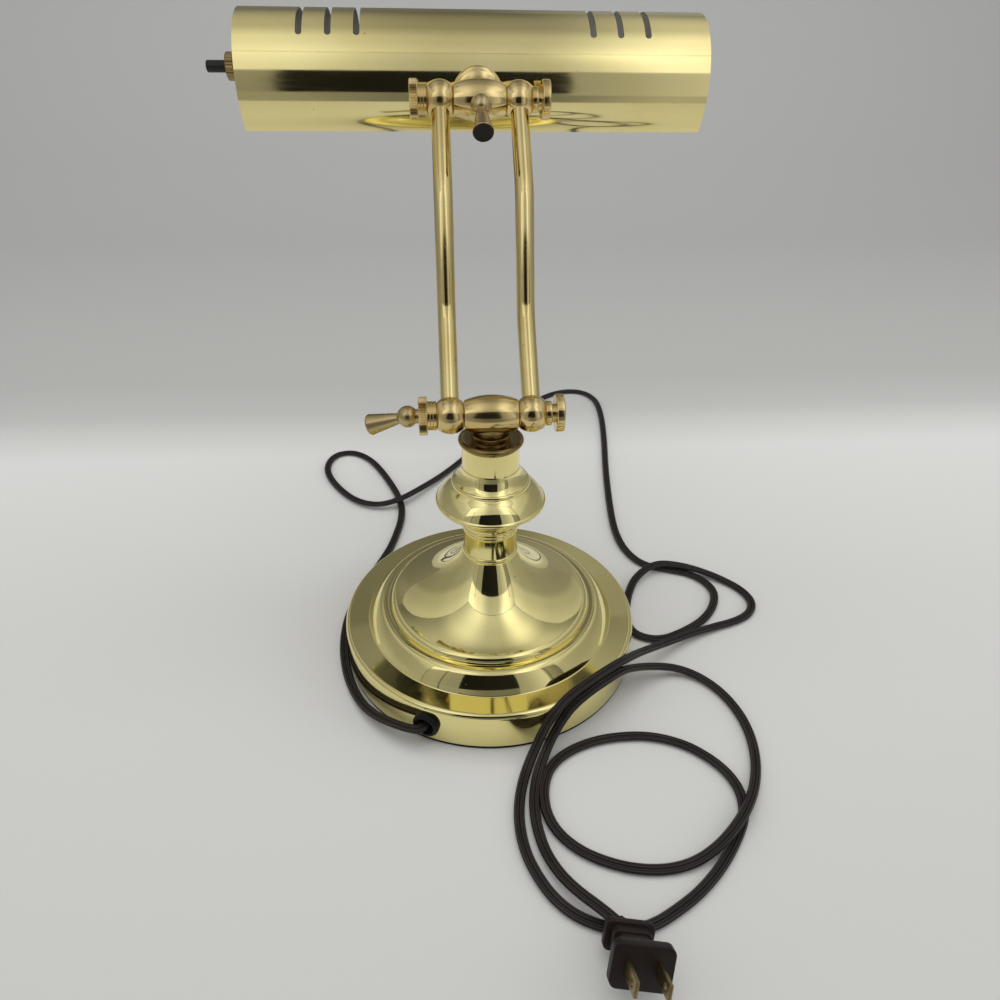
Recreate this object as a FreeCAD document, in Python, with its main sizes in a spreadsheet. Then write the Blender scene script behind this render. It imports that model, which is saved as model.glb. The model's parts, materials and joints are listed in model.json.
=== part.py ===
import FreeCAD, Part
import math
import os

import Sketcher

# Piano lamp in brass: a weighted round base with a turned column, a pair of bent arms that tilt on
# the column and a long shade that tilts, swivels and is locked with bent clamp levers.
#
# Millimetres. The origin is the centre of the base on the table, +Z is up, the arms lean towards +Y
# and the shade lies along X. Every sub-part is modelled in the pose in which the lamp stands.

doc = FreeCAD.newDocument("PianoLamp")
sheet = doc.addObject("Spreadsheet::Sheet", "Sizes")

DRIVING_SIZES = [
    ("base_radius", 84.0, "outside of the spun base shell"),
    ("pad_inset", 2.5, "felt under the base, inwards from the outside of the shell"),
    ("pad_thick", 2.0, ""),
    ("rim_height", 24.0, "flat rim of the base above the table"),
    ("rim_round", 2.8, "rounded corner of the rim"),
    ("shell_wall", 1.2, "sheet of the base shell"),
    ("ovolo_radius", 70.5, "foot of the convex step on the rim"),
    ("ovolo_top_radius", 58.5, ""),
    ("ovolo_top_height", 33.5, ""),
    ("ovolo_bulge", 13.0, "radius of the convex step"),
    ("cone_radius", 53.5, "foot of the trumpet cone"),
    ("bead_height", 4.0, "bead between the convex step and the cone"),
    ("cone_top_radius", 15.2, ""),
    ("cone_top_height", 67.0, ""),
    ("cone_sweep", 62.0, "radius of the hollow curve of the cone"),
    ("weight_gap", 3.8, "between the shell and the cast weight in it"),
    ("weight_thick", 14.0, ""),
    ("vase_wall", 2.5, "wall of the hollow vase"),
    ("recess_radius", 17.0, "room for the nut under the weight"),
    ("recess_depth", 7.0, ""),
    ("channel_width", 7.0, "slot of the cord through the weight"),
    ("pipe_radius", 4.8, "threaded pipe that holds base and column together"),
    ("pipe_bore", 3.3, ""),
    ("washer_radius", 13.0, ""),
    ("washer_thick", 1.5, ""),
    ("pipe_nut_flats", 14.0, ""),
    ("pipe_nut_thick", 4.0, ""),
    ("exit_turn", 26.5, "cord exit, in degrees from -Y towards -X"),
    ("exit_height", 12.5, ""),
    ("grommet_radius", 7.2, ""),
    ("grommet_barrel", 5.5, ""),
    ("grommet_stand", 3.0, "how far the grommet stands out of the wall"),
    ("cord_radius", 2.0, "plain tube that stands for the flat twin cord"),
    ("band_radius", 14.6, "turned band above the cone"),
    ("band_bead", 15.6, ""),
    ("band_top", 88.0, ""),
    ("vase_radius", 30.1, "widest bead of the vase"),
    ("vase_height", 103.0, "height of that bead"),
    ("vase_tier_radius", 20.6, "small bead between the two tiers of the vase"),
    ("vase_tier_height", 112.4, ""),
    ("neck_radius", 15.0, ""),
    ("neck_foot", 122.0, ""),
    ("neck_top", 134.2, ""),
    ("cap_radius", 16.6, ""),
    ("cap_thick", 4.0, ""),
    ("check_radius", 10.0, "knurled check ring under the swivel hub"),
    ("check_thick", 2.4, ""),
    ("lower_axis", 150.6, "height of the lower tilt axis"),
    ("hub_half", 13.5, "half length of the egg-shaped hubs"),
    ("hub_radius", 10.0, ""),
    ("hub_end_radius", 7.4, ""),
    ("joint_gap", 0.15, "running gap between faces that slide on each other"),
    ("fit_gap", 0.05, "radial gap of every running fit"),
    ("ball_width", 13.7, "arm balls, along the axis"),
    ("ball_radius", 9.4, ""),
    ("axle_radius", 3.2, ""),
    ("collar_radius", 7.3, "grooved collar beside the left balls"),
    ("collar_thick", 4.5, ""),
    ("ring_radius", 6.3, "plain ring beside the right balls"),
    ("ring_thick", 3.0, ""),
    ("head_neck_radius", 4.7, ""),
    ("head_neck", 1.9, ""),
    ("head_radius", 9.6, "knurled axle head and nut"),
    ("head_thick", 4.3, ""),
    ("head_edge", 0.5, "chamfer of knurled edges"),
    ("arm_radius", 4.75, "arm tubes"),
    ("arm_bore", 3.85, ""),
    ("arm_end_length", 54.0, "outer straight runs of an arm, from an axis to a bend"),
    ("arm_middle_length", 61.0, ""),
    ("arm_end_lean", 46.5, "degrees from upright"),
    ("arm_middle_lean", 22.0, ""),
    ("arm_bend", 34.0, "radius of the bends"),
    ("arm_socket", 5.4, "from the axis to the end of the tube in its ball"),
    ("lead_radius", 1.7, "wire inside an arm"),
    ("wire_radius", 1.1, "wires inside the shade"),
    ("lever_ball", 5.4, "clamp lever"),
    ("lever_bend", 24.0, "degrees between its screw and its handle"),
    ("lever_reach", 21.5, "from the ball to the tip"),
    ("lever_root", 2.6, ""),
    ("lever_tip", 5.6, ""),
    ("lever_screw", 2.2, ""),
    ("lever_turn_lower", -52.0, "where the lower handle points"),
    ("lever_turn_upper", 180.0, "where the upper handle points"),
    ("stem_rise", 4.2, "degrees that the shade stem rises"),
    ("boss_radius", 12.9, "flared boss of the upper hub"),
    ("boss_neck", 8.6, ""),
    ("boss_front", 13.6, "from the upper axis"),
    ("boss_back", 17.6, ""),
    ("stem_radius", 4.8, ""),
    ("stem_bore", 3.2, ""),
    ("shade_offset", 54.2, "from the upper axis to the shade's own axis"),
    ("shade_radius", 35.0, ""),
    ("shade_wall", 0.8, ""),
    ("shade_length", 254.0, ""),
    ("shade_near_edge", 220.5, "edges of the shade, in degrees round its axis from the far side"),
    ("shade_far_edge", -29.5, ""),
    ("saddle_radius", 11.0, "saddle washers on both sides of the shade wall"),
    ("stem_nut_flats", 13.0, ""),
    ("stem_nut_thick", 3.5, ""),
    ("cap_flange", 6.0, "flange of the end caps inside the shade"),
    ("slot_width", 3.4, "vent slots"),
    ("slot_pitch", 15.0, ""),
    ("slot_inset", 34.0, "from the end of the shade to the first slot"),
    ("slot_count", 3, "on each side"),
    ("slot_from", 44.5, "degrees round the shade from the far side to where a slot starts"),
    ("slot_to", 136.0, ""),
    ("holder_radius", 15.2, "lampholder"),
    ("holder_length", 44.0, ""),
    ("holder_inset", 27.0, "from the left end of the shade"),
    ("bulb_radius", 15.0, "tubular bulb"),
    ("bulb_length", 128.0, "glass"),
    ("bulb_cap_radius", 12.6, ""),
    ("switch_rise", 6.5, "push switch above the axis of the shade"),
    ("switch_bush", 5.0, ""),
    ("switch_bush_length", 11.0, "outside the cap"),
    ("switch_nut", 7.2, ""),
    ("switch_nut_thick", 4.6, ""),
    ("plunger_radius", 3.1, ""),
    ("plunger_reach", 10.8, "out of its bush"),
    ("plunger_travel", 3.0, "room behind the plunger"),
    ("plug_x", 44.2, "middle of the plug's front face"),
    ("plug_y", -201.3, ""),
    ("plug_z", 17.9, ""),
    ("plug_yaw", 1.6, "degrees that the plug is turned, tipped up and rolled"),
    ("plug_pitch", 31.4, ""),
    ("plug_roll", -12.7, ""),
    ("plug_width", 24.4, "front plate"),
    ("plug_height", 17.6, ""),
    ("plug_depth", 5.0, ""),
    ("plug_back", 16.6, "from the front face to the rear plate"),
    ("blade_spread", 12.7, "between the middles of the blades"),
    ("blade_reach", 16.5, ""),
    ("blade_width", 6.35, ""),
    ("blade_thick", 1.5, ""),
]
for row, (alias, number, note) in enumerate(DRIVING_SIZES, start=1):
    sheet.set("A%d" % row, alias)
    sheet.set("B%d" % row, str(number))
    sheet.set("C%d" % row, note)
    sheet.setAlias("B%d" % row, alias)
doc.recompute()


class Size:
    """A number together with the expression that ties it to the sheet."""

    def __init__(self, value, text):
        self.value = float(value)
        self.text = text

    def combine(self, other, sign, value):
        other_text = other.text if isinstance(other, Size) else repr(float(other))
        return Size(value, "(%s %s %s)" % (self.text, sign, other_text))

    def __add__(self, other):
        return self.combine(other, "+", self.value + number_of(other))

    def __sub__(self, other):
        return self.combine(other, "-", self.value - number_of(other))

    def __mul__(self, other):
        return self.combine(other, "*", self.value * number_of(other))

    def __truediv__(self, other):
        return self.combine(other, "/", self.value / number_of(other))

    def __neg__(self):
        return Size(-self.value, "(0 - %s)" % self.text)


def number_of(size):
    return size.value if isinstance(size, Size) else float(size)


def fixed(number):
    return Size(number, repr(float(number)))


def sine(angle):
    return Size(math.sin(math.radians(angle.value)), "sin(1 deg * %s)" % angle.text)


def cosine(angle):
    return Size(math.cos(math.radians(angle.value)), "cos(1 deg * %s)" % angle.text)


def tangent(angle):
    return Size(math.tan(math.radians(angle.value)), "tan(1 deg * %s)" % angle.text)


def root(size):
    return Size(math.sqrt(size.value), "sqrt(%s)" % size.text)


class SheetSizes:
    """The cells of the sheet by name."""

    def __getattr__(self, alias):
        return Size(sheet.get(alias), "Sizes.%s" % alias)


S = SheetSizes()
ZERO = fixed(0)

# Where the main axes lie, worked out from the driving sizes.
UPPER_OUT = S.arm_end_length * 2 * sine(S.arm_end_lean) + S.arm_middle_length * sine(S.arm_middle_lean)
UPPER_AXIS = (S.lower_axis + S.arm_end_length * 2 * cosine(S.arm_end_lean)
              + S.arm_middle_length * cosine(S.arm_middle_lean))
SHADE_OUT = UPPER_OUT + S.shade_offset * cosine(S.stem_rise)
SHADE_AXIS = UPPER_AXIS + S.shade_offset * sine(S.stem_rise)
SHADE_END = S.shade_length / 2
WEIGHT_RADIUS = S.base_radius - S.shell_wall - S.weight_gap
PAD_RADIUS = S.base_radius - S.pad_inset
GROMMET_DEPTH = 3.4
SWITCH_BODY = fixed(17)
SWITCH_WIDTH = fixed(13)
BALL_START = S.hub_half + S.joint_gap
BALL_MIDDLE = BALL_START + S.ball_width / 2
BALL_END = BALL_START + S.ball_width


# ---------------------------------------------------------------------------------------------
# Construction helpers
# ---------------------------------------------------------------------------------------------

def bind(obj, prop, size):
    """Ties one property of an object to the sheet."""
    if isinstance(size, Size) and "Sizes." in size.text:
        obj.setExpression(prop, size.text)


def place(obj, at=(ZERO, ZERO, ZERO), axis=(1, 0, 0), turn=ZERO):
    """Puts an object at a point, turned about an axis by an angle in degrees."""
    point = FreeCAD.Vector(*[number_of(size) for size in at])
    rotation = FreeCAD.Rotation(FreeCAD.Vector(*axis), number_of(turn))
    obj.Placement = FreeCAD.Placement(point, rotation)
    for name, size in zip("xyz", at):
        bind(obj, "Placement.Base.%s" % name, size)
    bind(obj, "Placement.Rotation.Angle", turn)
    return obj


def origin_plane(body, role):
    for feature in body.Origin.OriginFeatures:
        if feature.Role == role:
            return feature
    raise ValueError("no plane " + role)


def new_body(label):
    body = doc.addObject("PartDesign::Body", "Body_" + label)
    body.Label = label
    return body


def new_sketch(body, name, plane="XZ_Plane"):
    sketch = body.newObject("Sketcher::SketchObject", name)
    sketch.AttachmentSupport = [(origin_plane(body, plane), "")]
    sketch.MapMode = "FlatFace"
    return sketch


def line(x, y):
    """A straight edge to the point."""
    return (x, y, None)


def curve(x, y, radius, side):
    """An arc to the point: side +1 bends to the left of the way there, -1 to the right."""
    return (x, y, (radius, side))


def arc_between(start, end, radius, side):
    """Circle arc of a radius between two points of a sketch."""
    chord = end - start
    half = chord.Length / 2
    rise = math.sqrt(max(radius * radius - half * half, 0.0))
    left = FreeCAD.Vector(-chord.y, chord.x, 0).normalize()
    centre = (start + end) * 0.5 + left * rise * side
    first, last = (start, end) if side > 0 else (end, start)
    first_angle = math.atan2(first.y - centre.y, first.x - centre.x)
    last_angle = math.atan2(last.y - centre.y, last.x - centre.x)
    circle = Part.Circle(centre, FreeCAD.Vector(0, 0, 1), radius)
    return Part.ArcOfCircle(circle, first_angle, last_angle)


def draw(sketch, steps, closed=True):
    """Draws lines and arcs through the steps and ties every point and radius to the sheet."""
    corners = [FreeCAD.Vector(number_of(x), number_of(y), 0) for x, y, bend in steps]
    count = len(steps)
    ends = []
    constraints = []
    sizes = []

    def tie(size, *parts):
        constraints.append(Sketcher.Constraint(*parts, number_of(size)))
        sizes.append(size)

    first = 0 if closed else 1
    for index in range(first, count):
        start, end = corners[index - 1], corners[index]
        bend = steps[index][2]
        if bend is None:
            edge = sketch.addGeometry(Part.LineSegment(start, end), False)
            ends.append((edge, 1, 2))
        else:
            radius, side = bend
            edge = sketch.addGeometry(arc_between(start, end, number_of(radius), side), False)
            ends.append((edge, 1, 2) if side > 0 else (edge, 2, 1))
            tie(radius, "Radius", edge)
    for index, (edge, start_pos, end_pos) in enumerate(ends):
        if closed or index:
            before = ends[index - 1]
            constraints.append(Sketcher.Constraint("Coincident", before[0], before[2], edge, start_pos))
            sizes.append(None)
    points = [(edge, end_pos) for edge, start_pos, end_pos in ends]
    targets = steps[first:]
    if not closed:
        points.insert(0, (ends[0][0], ends[0][1]))
        targets = steps
    for (edge, pos), (x, y, bend) in zip(points, targets):
        for kind, size, base in (("DistanceX", x, -2), ("DistanceY", y, -1)):
            if number_of(size) == 0:
                constraints.append(Sketcher.Constraint("PointOnObject", edge, pos, base))
                sizes.append(None)
            else:
                tie(size, kind, -1, 1, edge, pos)
    sketch.addConstraint(constraints)
    for index, size in enumerate(sizes):
        if size is not None:
            bind(sketch, "Constraints[%d]" % index, size)
    return sketch


def revolved(label, steps, about="V_Axis"):
    """A turned piece: the outline goes once round the sketch's upright or level axis."""
    body = new_body(label)
    sketch = draw(new_sketch(body, label + "_outline"), steps)
    turned = body.newObject("PartDesign::Revolution", label + "_turned")
    turned.Profile = sketch
    turned.ReferenceAxis = (sketch, [about])
    turned.Angle = 360
    sketch.Visibility = False
    return body


def ring(label, inner, outer, thick, edge, about="H_Axis"):
    """A turned ring with chamfered outer edges, from 0 to its thickness along its axis."""
    across = [(inner, ZERO), (outer - edge, ZERO), (outer, edge), (outer, thick - edge),
              (outer - edge, thick), (inner, thick)]
    if about == "H_Axis":
        across = [(along, out) for out, along in reversed(across)]
    return revolved(label, [line(x, y) for x, y in across], about)


def cylinder(name, radius, length, at=(ZERO, ZERO, ZERO), axis=(1, 0, 0), turn=ZERO):
    tool = doc.addObject("Part::Cylinder", name)
    tool.Radius = number_of(radius)
    tool.Height = number_of(length)
    bind(tool, "Radius", radius)
    bind(tool, "Height", length)
    return place(tool, at, axis, turn)


def box(name, sizes, at, axis=(0, 0, 1), turn=ZERO):
    tool = doc.addObject("Part::Box", name)
    for prop, size in zip(("Length", "Width", "Height"), sizes):
        setattr(tool, prop, number_of(size))
        bind(tool, prop, size)
    return place(tool, at, axis, turn)


def prism(name, flats, length, at=(ZERO, ZERO, ZERO), axis=(1, 0, 0), turn=ZERO):
    """Hexagon bar by its width across the flats."""
    tool = doc.addObject("Part::Prism", name)
    tool.Polygon = 6
    across = flats / (cosine(fixed(30)) * 2)
    tool.Circumradius = number_of(across)
    tool.Height = number_of(length)
    bind(tool, "Circumradius", across)
    bind(tool, "Height", length)
    return place(tool, at, axis, turn)


def fuse(label, pieces):
    joined = doc.addObject("Part::MultiFuse", "Fuse_" + label)
    joined.Shapes = pieces
    joined.Label = label
    return joined


def cut(label, base, tools):
    """The base less all its tools."""
    tool = tools[0] if len(tools) == 1 else fuse(label + "_tools", tools)
    result = doc.addObject("Part::Cut", "Cut_" + label)
    result.Base = base
    result.Tool = tool
    base.Label = label + "_blank"
    result.Label = label
    return result


def common(label, pieces):
    result = doc.addObject("Part::MultiCommon", "Common_" + label)
    result.Shapes = pieces
    result.Label = label
    return result


# ---------------------------------------------------------------------------------------------
# Base and column
# ---------------------------------------------------------------------------------------------

def make_base_pad():
    return ring("base_pad", ZERO, PAD_RADIUS, S.pad_thick, fixed(0.4), "V_Axis")


def make_base_shell():
    """Spun shell: upright wall, rounded rim, convex step, bead and hollow trumpet cone."""
    wall = S.shell_wall
    bead_foot = S.ovolo_top_radius - 1.2
    bead = S.bead_height * 1.05
    cone_foot = S.ovolo_top_height + S.bead_height
    outside = [
        line(S.base_radius - wall, S.pad_thick),
        line(S.base_radius, S.pad_thick),
        line(S.base_radius, S.rim_height - S.rim_round),
        curve(S.base_radius - S.rim_round, S.rim_height, S.rim_round, 1),
        line(S.ovolo_radius, S.rim_height),
        curve(S.ovolo_top_radius, S.ovolo_top_height, S.ovolo_bulge, 1),
        line(bead_foot, S.ovolo_top_height),
        curve(S.cone_radius, cone_foot, bead, 1),
        curve(S.cone_top_radius, S.cone_top_height, S.cone_sweep, -1),
        line(S.pipe_radius, S.cone_top_height),
    ]
    inside = [
        line(S.pipe_radius, S.cone_top_height - wall),
        line(S.cone_top_radius - wall, S.cone_top_height - wall),
        curve(S.cone_radius - wall, cone_foot - wall, S.cone_sweep, 1),
        curve(bead_foot - wall, S.ovolo_top_height - wall, bead, -1),
        line(S.ovolo_top_radius - wall, S.ovolo_top_height - wall),
        curve(S.ovolo_radius - wall, S.rim_height - wall, S.ovolo_bulge, -1),
        line(S.base_radius - S.rim_round, S.rim_height - wall),
        curve(S.base_radius - wall, S.rim_height - S.rim_round, S.rim_round - wall, -1),
    ]
    shell = revolved("base_shell", outside + inside)
    return cut("base_shell", shell, [exit_drill("shell_exit", S.grommet_barrel, fixed(20), WEIGHT_RADIUS)])


def exit_drill(name, radius, length, start):
    """A cylinder along the cord's way out of the base, outwards from a distance off the middle."""
    out_x = -sine(S.exit_turn)
    out_y = -cosine(S.exit_turn)
    tool = cylinder(name, radius, length)
    direction = FreeCAD.Vector(out_x.value, out_y.value, 0)
    rotation = FreeCAD.Rotation(FreeCAD.Vector(0, 0, 1), direction)
    point = FreeCAD.Vector((out_x * start).value, (out_y * start).value, S.exit_height.value)
    tool.Placement = FreeCAD.Placement(point, rotation)
    bind(tool, "Placement.Base.x", out_x * start)
    bind(tool, "Placement.Base.y", out_y * start)
    bind(tool, "Placement.Base.z", S.exit_height)
    return tool


def make_cord_grommet():
    """Snap-in bushing: a domed flange outside the wall, a barrel through it, a web round the cord."""
    inner_face = S.base_radius - GROMMET_DEPTH
    barrel = exit_drill("grommet_barrel", S.grommet_barrel, fixed(GROMMET_DEPTH), inner_face)
    flange = exit_drill("grommet_flange", S.grommet_radius, S.grommet_stand, S.base_radius)
    flange_back = exit_drill("grommet_snap", S.grommet_barrel + 0.6, fixed(1.0), inner_face - 0.6)
    solid = fuse("grommet_solid", [barrel, flange, flange_back])
    mouth = exit_drill("grommet_mouth", fixed(3.7), fixed(6), S.base_radius)
    bore = exit_drill("grommet_bore", S.cord_radius, fixed(20), inner_face - 5)
    shell_body = cylinder("grommet_wall", S.base_radius, S.rim_height, (ZERO, ZERO, ZERO))
    inner_wall = cylinder("grommet_wall_bore", S.base_radius - S.shell_wall, S.rim_height)
    wall = cut("grommet_wall_ring", shell_body, [inner_wall])
    barrel_room = exit_drill("grommet_room", S.grommet_barrel, fixed(20), WEIGHT_RADIUS)
    wall = cut("grommet_wall_drilled", wall, [barrel_room])
    return cut("cord_grommet", solid, [mouth, bore, wall])


def make_base_weight():
    """Cast disc that keeps the lamp upright, with a nut recess and a slot for the cord underneath."""
    bottom = S.pad_thick
    top = bottom + S.weight_thick
    blank = revolved("base_weight", [
        line(S.pipe_radius, bottom),
        line(WEIGHT_RADIUS, bottom),
        line(WEIGHT_RADIUS, top - 3),
        line(WEIGHT_RADIUS - 3, top),
        line(S.pipe_radius, top),
    ])
    recess = cylinder("weight_recess", S.recess_radius, S.recess_depth, (ZERO, ZERO, bottom))
    slot_height = S.exit_height + S.channel_width / 2 - bottom
    slot = box("weight_slot", (S.channel_width, S.base_radius, slot_height), (ZERO, ZERO, bottom))
    turn = -S.exit_turn
    rotation = FreeCAD.Rotation(FreeCAD.Vector(0, 0, 1), turn.value)
    shift = rotation.multVec(FreeCAD.Vector(-S.channel_width.value / 2, -S.base_radius.value, 0))
    slot.Placement = FreeCAD.Placement(shift + FreeCAD.Vector(0, 0, bottom.value), rotation)
    return cut("base_weight", blank, [recess, slot])


def make_pipe_parts():
    """Threaded pipe from under the weight to inside the swivel hub, with its nut and washer."""
    web = S.pad_thick + S.recess_depth
    washer_bottom = web - S.washer_thick
    nut_bottom = washer_bottom - S.pipe_nut_thick
    washer = ring("pipe_washer", S.pipe_radius, S.washer_radius, S.washer_thick, fixed(0.2), "V_Axis")
    place(washer, (ZERO, ZERO, washer_bottom))
    nut = cut("pipe_nut", prism("pipe_nut_blank", S.pipe_nut_flats, S.pipe_nut_thick,
                                (ZERO, ZERO, nut_bottom)),
              [cylinder("pipe_nut_bore", S.pipe_radius, S.rim_height)])
    pipe_top = S.lower_axis - S.axle_radius - 2.2
    pipe = ring("threaded_pipe", S.pipe_bore, S.pipe_radius, pipe_top - nut_bottom, fixed(0.4), "V_Axis")
    place(pipe, (ZERO, ZERO, nut_bottom))
    opening = box("pipe_opening", (S.cord_radius * 2 + 1.2, fixed(20), fixed(16)), (ZERO, ZERO, ZERO))
    turn = FreeCAD.Rotation(FreeCAD.Vector(0, 0, 1), -S.exit_turn.value)
    corner = turn.multVec(FreeCAD.Vector(-S.cord_radius.value - 0.6, -20, 0))
    opening.Placement = FreeCAD.Placement(corner + FreeCAD.Vector(0, 0, S.exit_height.value + 1.5), turn)
    return [washer, nut, cut("threaded_pipe", pipe, [opening])]


def make_column_band():
    """Turned band on the cone: a foot bead, a plain waist and three fine rings at the top."""
    bottom = S.cone_top_height
    foot = bottom + 2.6
    rings_from = S.band_top - 6.6
    steps = [
        line(S.pipe_radius, bottom),
        line(S.cone_top_radius, bottom),
        curve(S.band_radius, foot, fixed(1.7), 1),
        line(S.band_radius, rings_from),
    ]
    ring_pitch = 2.2
    for index in range(3):
        low = rings_from + ring_pitch * index
        steps.append(curve(S.band_radius + 0.3 * index, low + ring_pitch - 0.1, fixed(1.35), 1))
        steps.append(line(S.band_radius + 0.3 * (index + 1), low + ring_pitch))
    steps[-1] = line(S.band_radius + 0.6, S.band_top)
    steps.append(line(S.pipe_radius, S.band_top))
    return revolved("column_band", steps)


def make_column_vase():
    """Hollow turned vase: a flared underside, the widest bead, two tiers and the plain neck."""
    web = S.vase_wall + 0.1
    bead_low = S.vase_height - 3.0
    bead_high = S.vase_height + 3.2
    tier_low = S.vase_tier_height - 0.9
    tier_high = S.vase_tier_height + 0.9
    return revolved("column_vase", [
        line(S.pipe_radius, S.band_top),
        line(S.band_bead + 0.9, S.band_top),
        line(S.band_bead + 0.9, S.band_top + 1),
        line(S.vase_radius - 2.1, bead_low - 0.6),
        line(S.vase_radius - 1.6, bead_low),
        curve(S.vase_radius - 1.6, bead_high, fixed(3.9), 1),
        line(S.vase_radius - 2.4, bead_high - 0.4),
        curve(S.vase_tier_radius - 0.3, tier_low, fixed(13.0), 1),
        curve(S.vase_tier_radius - 0.5, tier_high, fixed(0.95), 1),
        curve(S.neck_radius + 0.3, S.neck_foot - 0.5, fixed(12.0), -1),
        line(S.neck_radius, S.neck_foot),
        line(S.neck_radius, S.neck_top),
        line(S.pipe_radius, S.neck_top),
        line(S.pipe_radius, S.neck_top - web),
        line(S.neck_radius - S.vase_wall, S.neck_top - web),
        line(S.neck_radius - S.vase_wall, S.neck_foot - 2.5),
        line(S.vase_tier_radius - 2.8, tier_low - 1.3),
        line(S.vase_radius - 5, bead_high - 1.8),
        line(S.vase_radius - 5, bead_low),
        line(S.neck_radius - 0.5, S.band_top + web),
        line(S.pipe_radius, S.band_top + web),
    ])


def make_column_cap():
    """Darker brass cap on the neck, with a rolled edge."""
    top = S.neck_top + S.cap_thick
    return revolved("column_cap", [
        line(S.pipe_radius, S.neck_top),
        line(S.neck_radius + 0.2, S.neck_top),
        line(S.cap_radius - 0.4, S.neck_top + 1.2),
        curve(S.cap_radius - 0.5, top - 0.3, S.cap_thick * 0.35, 1),
        line(S.cap_radius - 1.2, top),
        line(S.pipe_radius, top),
    ])


def make_check_ring():
    check = ring("check_ring", S.pipe_radius, S.check_radius, S.check_thick, fixed(0.4), "V_Axis")
    return place(check, (ZERO, ZERO, S.neck_top + S.cap_thick))


# ---------------------------------------------------------------------------------------------
# Cord and plug
# ---------------------------------------------------------------------------------------------

# Corners of the cord's way over the table, from the grommet to the plug. It passes behind the
# column, and two of its strands lie over the rim of the base, one on top of the other.
CORD_CORNERS = [
    (-39.7, -79.6, 12.4), (-47.5, -76.4, 11), (-55.5, -70.9, 9.1), (-64.1, -63.5, 6.4),
    (-72.5, -53, 3.9), (-79.9, -37.5, 2.4), (-85, -20, 2), (-87.6, 0, 2), (-86.9, 21, 2),
    (-81.9, 42, 2), (-74.2, 63.1, 2), (-67, 81, 2), (-61.7, 97.7, 2), (-56.2, 128.2, 2),
    (-58, 152.9, 2), (-70.7, 188.4, 2), (-85.3, 217.8, 2), (-101.4, 230.8, 2), (-116.4, 225.4, 2),
    (-120.8, 203, 2), (-110.5, 177.1, 2), (-93, 152.8, 2.5), (-74.3, 142.4, 4.4),
    (-57.8, 147.1, 6.4), (-43.2, 163.6, 5), (-25.5, 186.9, 2.4), (-6, 215.1, 2), (14.4, 248.8, 2),
    (40, 288.1, 2), (64.9, 320, 2), (89.4, 340.3, 2), (112.8, 341.6, 2), (125, 322.6, 2),
    (124.1, 287.6, 2), (117.7, 241.2, 2), (109.3, 193.1, 2), (102.3, 143.4, 2), (98.1, 103.5, 2),
    (100.4, 78.6, 2), (109.1, 61.6, 2), (125.3, 55.8, 2), (141.3, 49.4, 2), (150.2, 34.9, 2),
    (147.1, 20, 2), (135.6, 4.8, 2), (119.6, -5.4, 2), (103.5, -11.9, 2), (91.2, -8.3, 2),
    (85.7, 0.3, 2), (87.3, 15.8, 2.9), (92.9, 31.9, 4), (100.6, 45.3, 5.5), (116.3, 57.2, 6.9),
    (133.3, 55.4, 5.7), (149.1, 48.9, 3.7), (162, 39.8, 2), (169.3, 29.3, 2), (171.2, 18.1, 2),
    (165.5, 8.1, 2), (154.8, 1.8, 2), (137.9, -3.4, 2.7), (122.7, -9.9, 4.7), (110.3, -16.8, 7),
    (96.7, -25.2, 10.5), (83.5, -35.4, 16.3), (71.4, -47.5, 23.7), (60.7, -56.9, 27.1),
    (48.2, -67.4, 29.5), (38.8, -73.9, 29.2), (31.4, -78.9, 26.2), (25.9, -82.5, 20.6),
    (21.7, -85.1, 13.6), (17.1, -89.9, 6.1), (12.4, -97.7, 2.1), (8, -109.9, 2), (5.6, -122.7, 2),
    (5.5, -134.5, 2), (7.4, -145.7, 2), (11.5, -156.1, 2), (16.5, -164.8, 2), (24, -172.6, 2),
    (34.1, -178, 2), (45.5, -180.9, 2), (56.5, -179.6, 2), (67.7, -174.3, 2), (80.4, -167, 2),
    (93.3, -156.4, 2), (104.4, -144, 2), (112.9, -131.7, 2), (115.4, -119, 2), (112.7, -107.7, 2),
    (105.5, -97.4, 2), (94.9, -88.3, 2), (79, -82.2, 2), (61.8, -81.6, 2), (46.6, -84.1, 2),
    (32.3, -90.4, 2), (22.6, -99.6, 2), (18.5, -112.6, 2), (18.9, -125.1, 2), (23.2, -135.4, 2),
    (31.3, -144, 2), (42.1, -150.3, 2), (54.4, -154.5, 2), (67.7, -156, 2), (80.8, -154.3, 2.6),
    (93, -148.9, 4.4), (103.7, -141, 6.1), (113.6, -130.8, 6.4), (122.8, -117.1, 3.7),
    (129.5, -101.4, 2), (132.4, -85.5, 2), (131.5, -69.4, 2), (126, -53.6, 2), (116.8, -42.3, 2.4),
    (104.9, -37.4, 4.6), (92.7, -39.2, 8.3), (80.1, -45.4, 14.9), (67.9, -54.6, 22.6),
    (56.4, -65.4, 26.5), (46.5, -72.4, 26.6), (37.3, -78.1, 23.3), (31.4, -82.2, 17.8),
    (27, -85.9, 11.9), (22.6, -91.2, 6.3), (18.5, -99.1, 2.8), (15.2, -108.2, 2),
    (13.3, -119.8, 2), (13.4, -131.2, 2), (15.7, -143.6, 2), (20.4, -155.1, 3.7),
    (26.5, -164.6, 5.8), (36.6, -174.6, 6.8), (41.6, -181.2, 8),
]


def cord_start():
    """Middle of the inner face of the grommet."""
    start = S.base_radius - GROMMET_DEPTH
    return ((-sine(S.exit_turn) * start).value, (-cosine(S.exit_turn) * start).value, S.exit_height.value)


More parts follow.
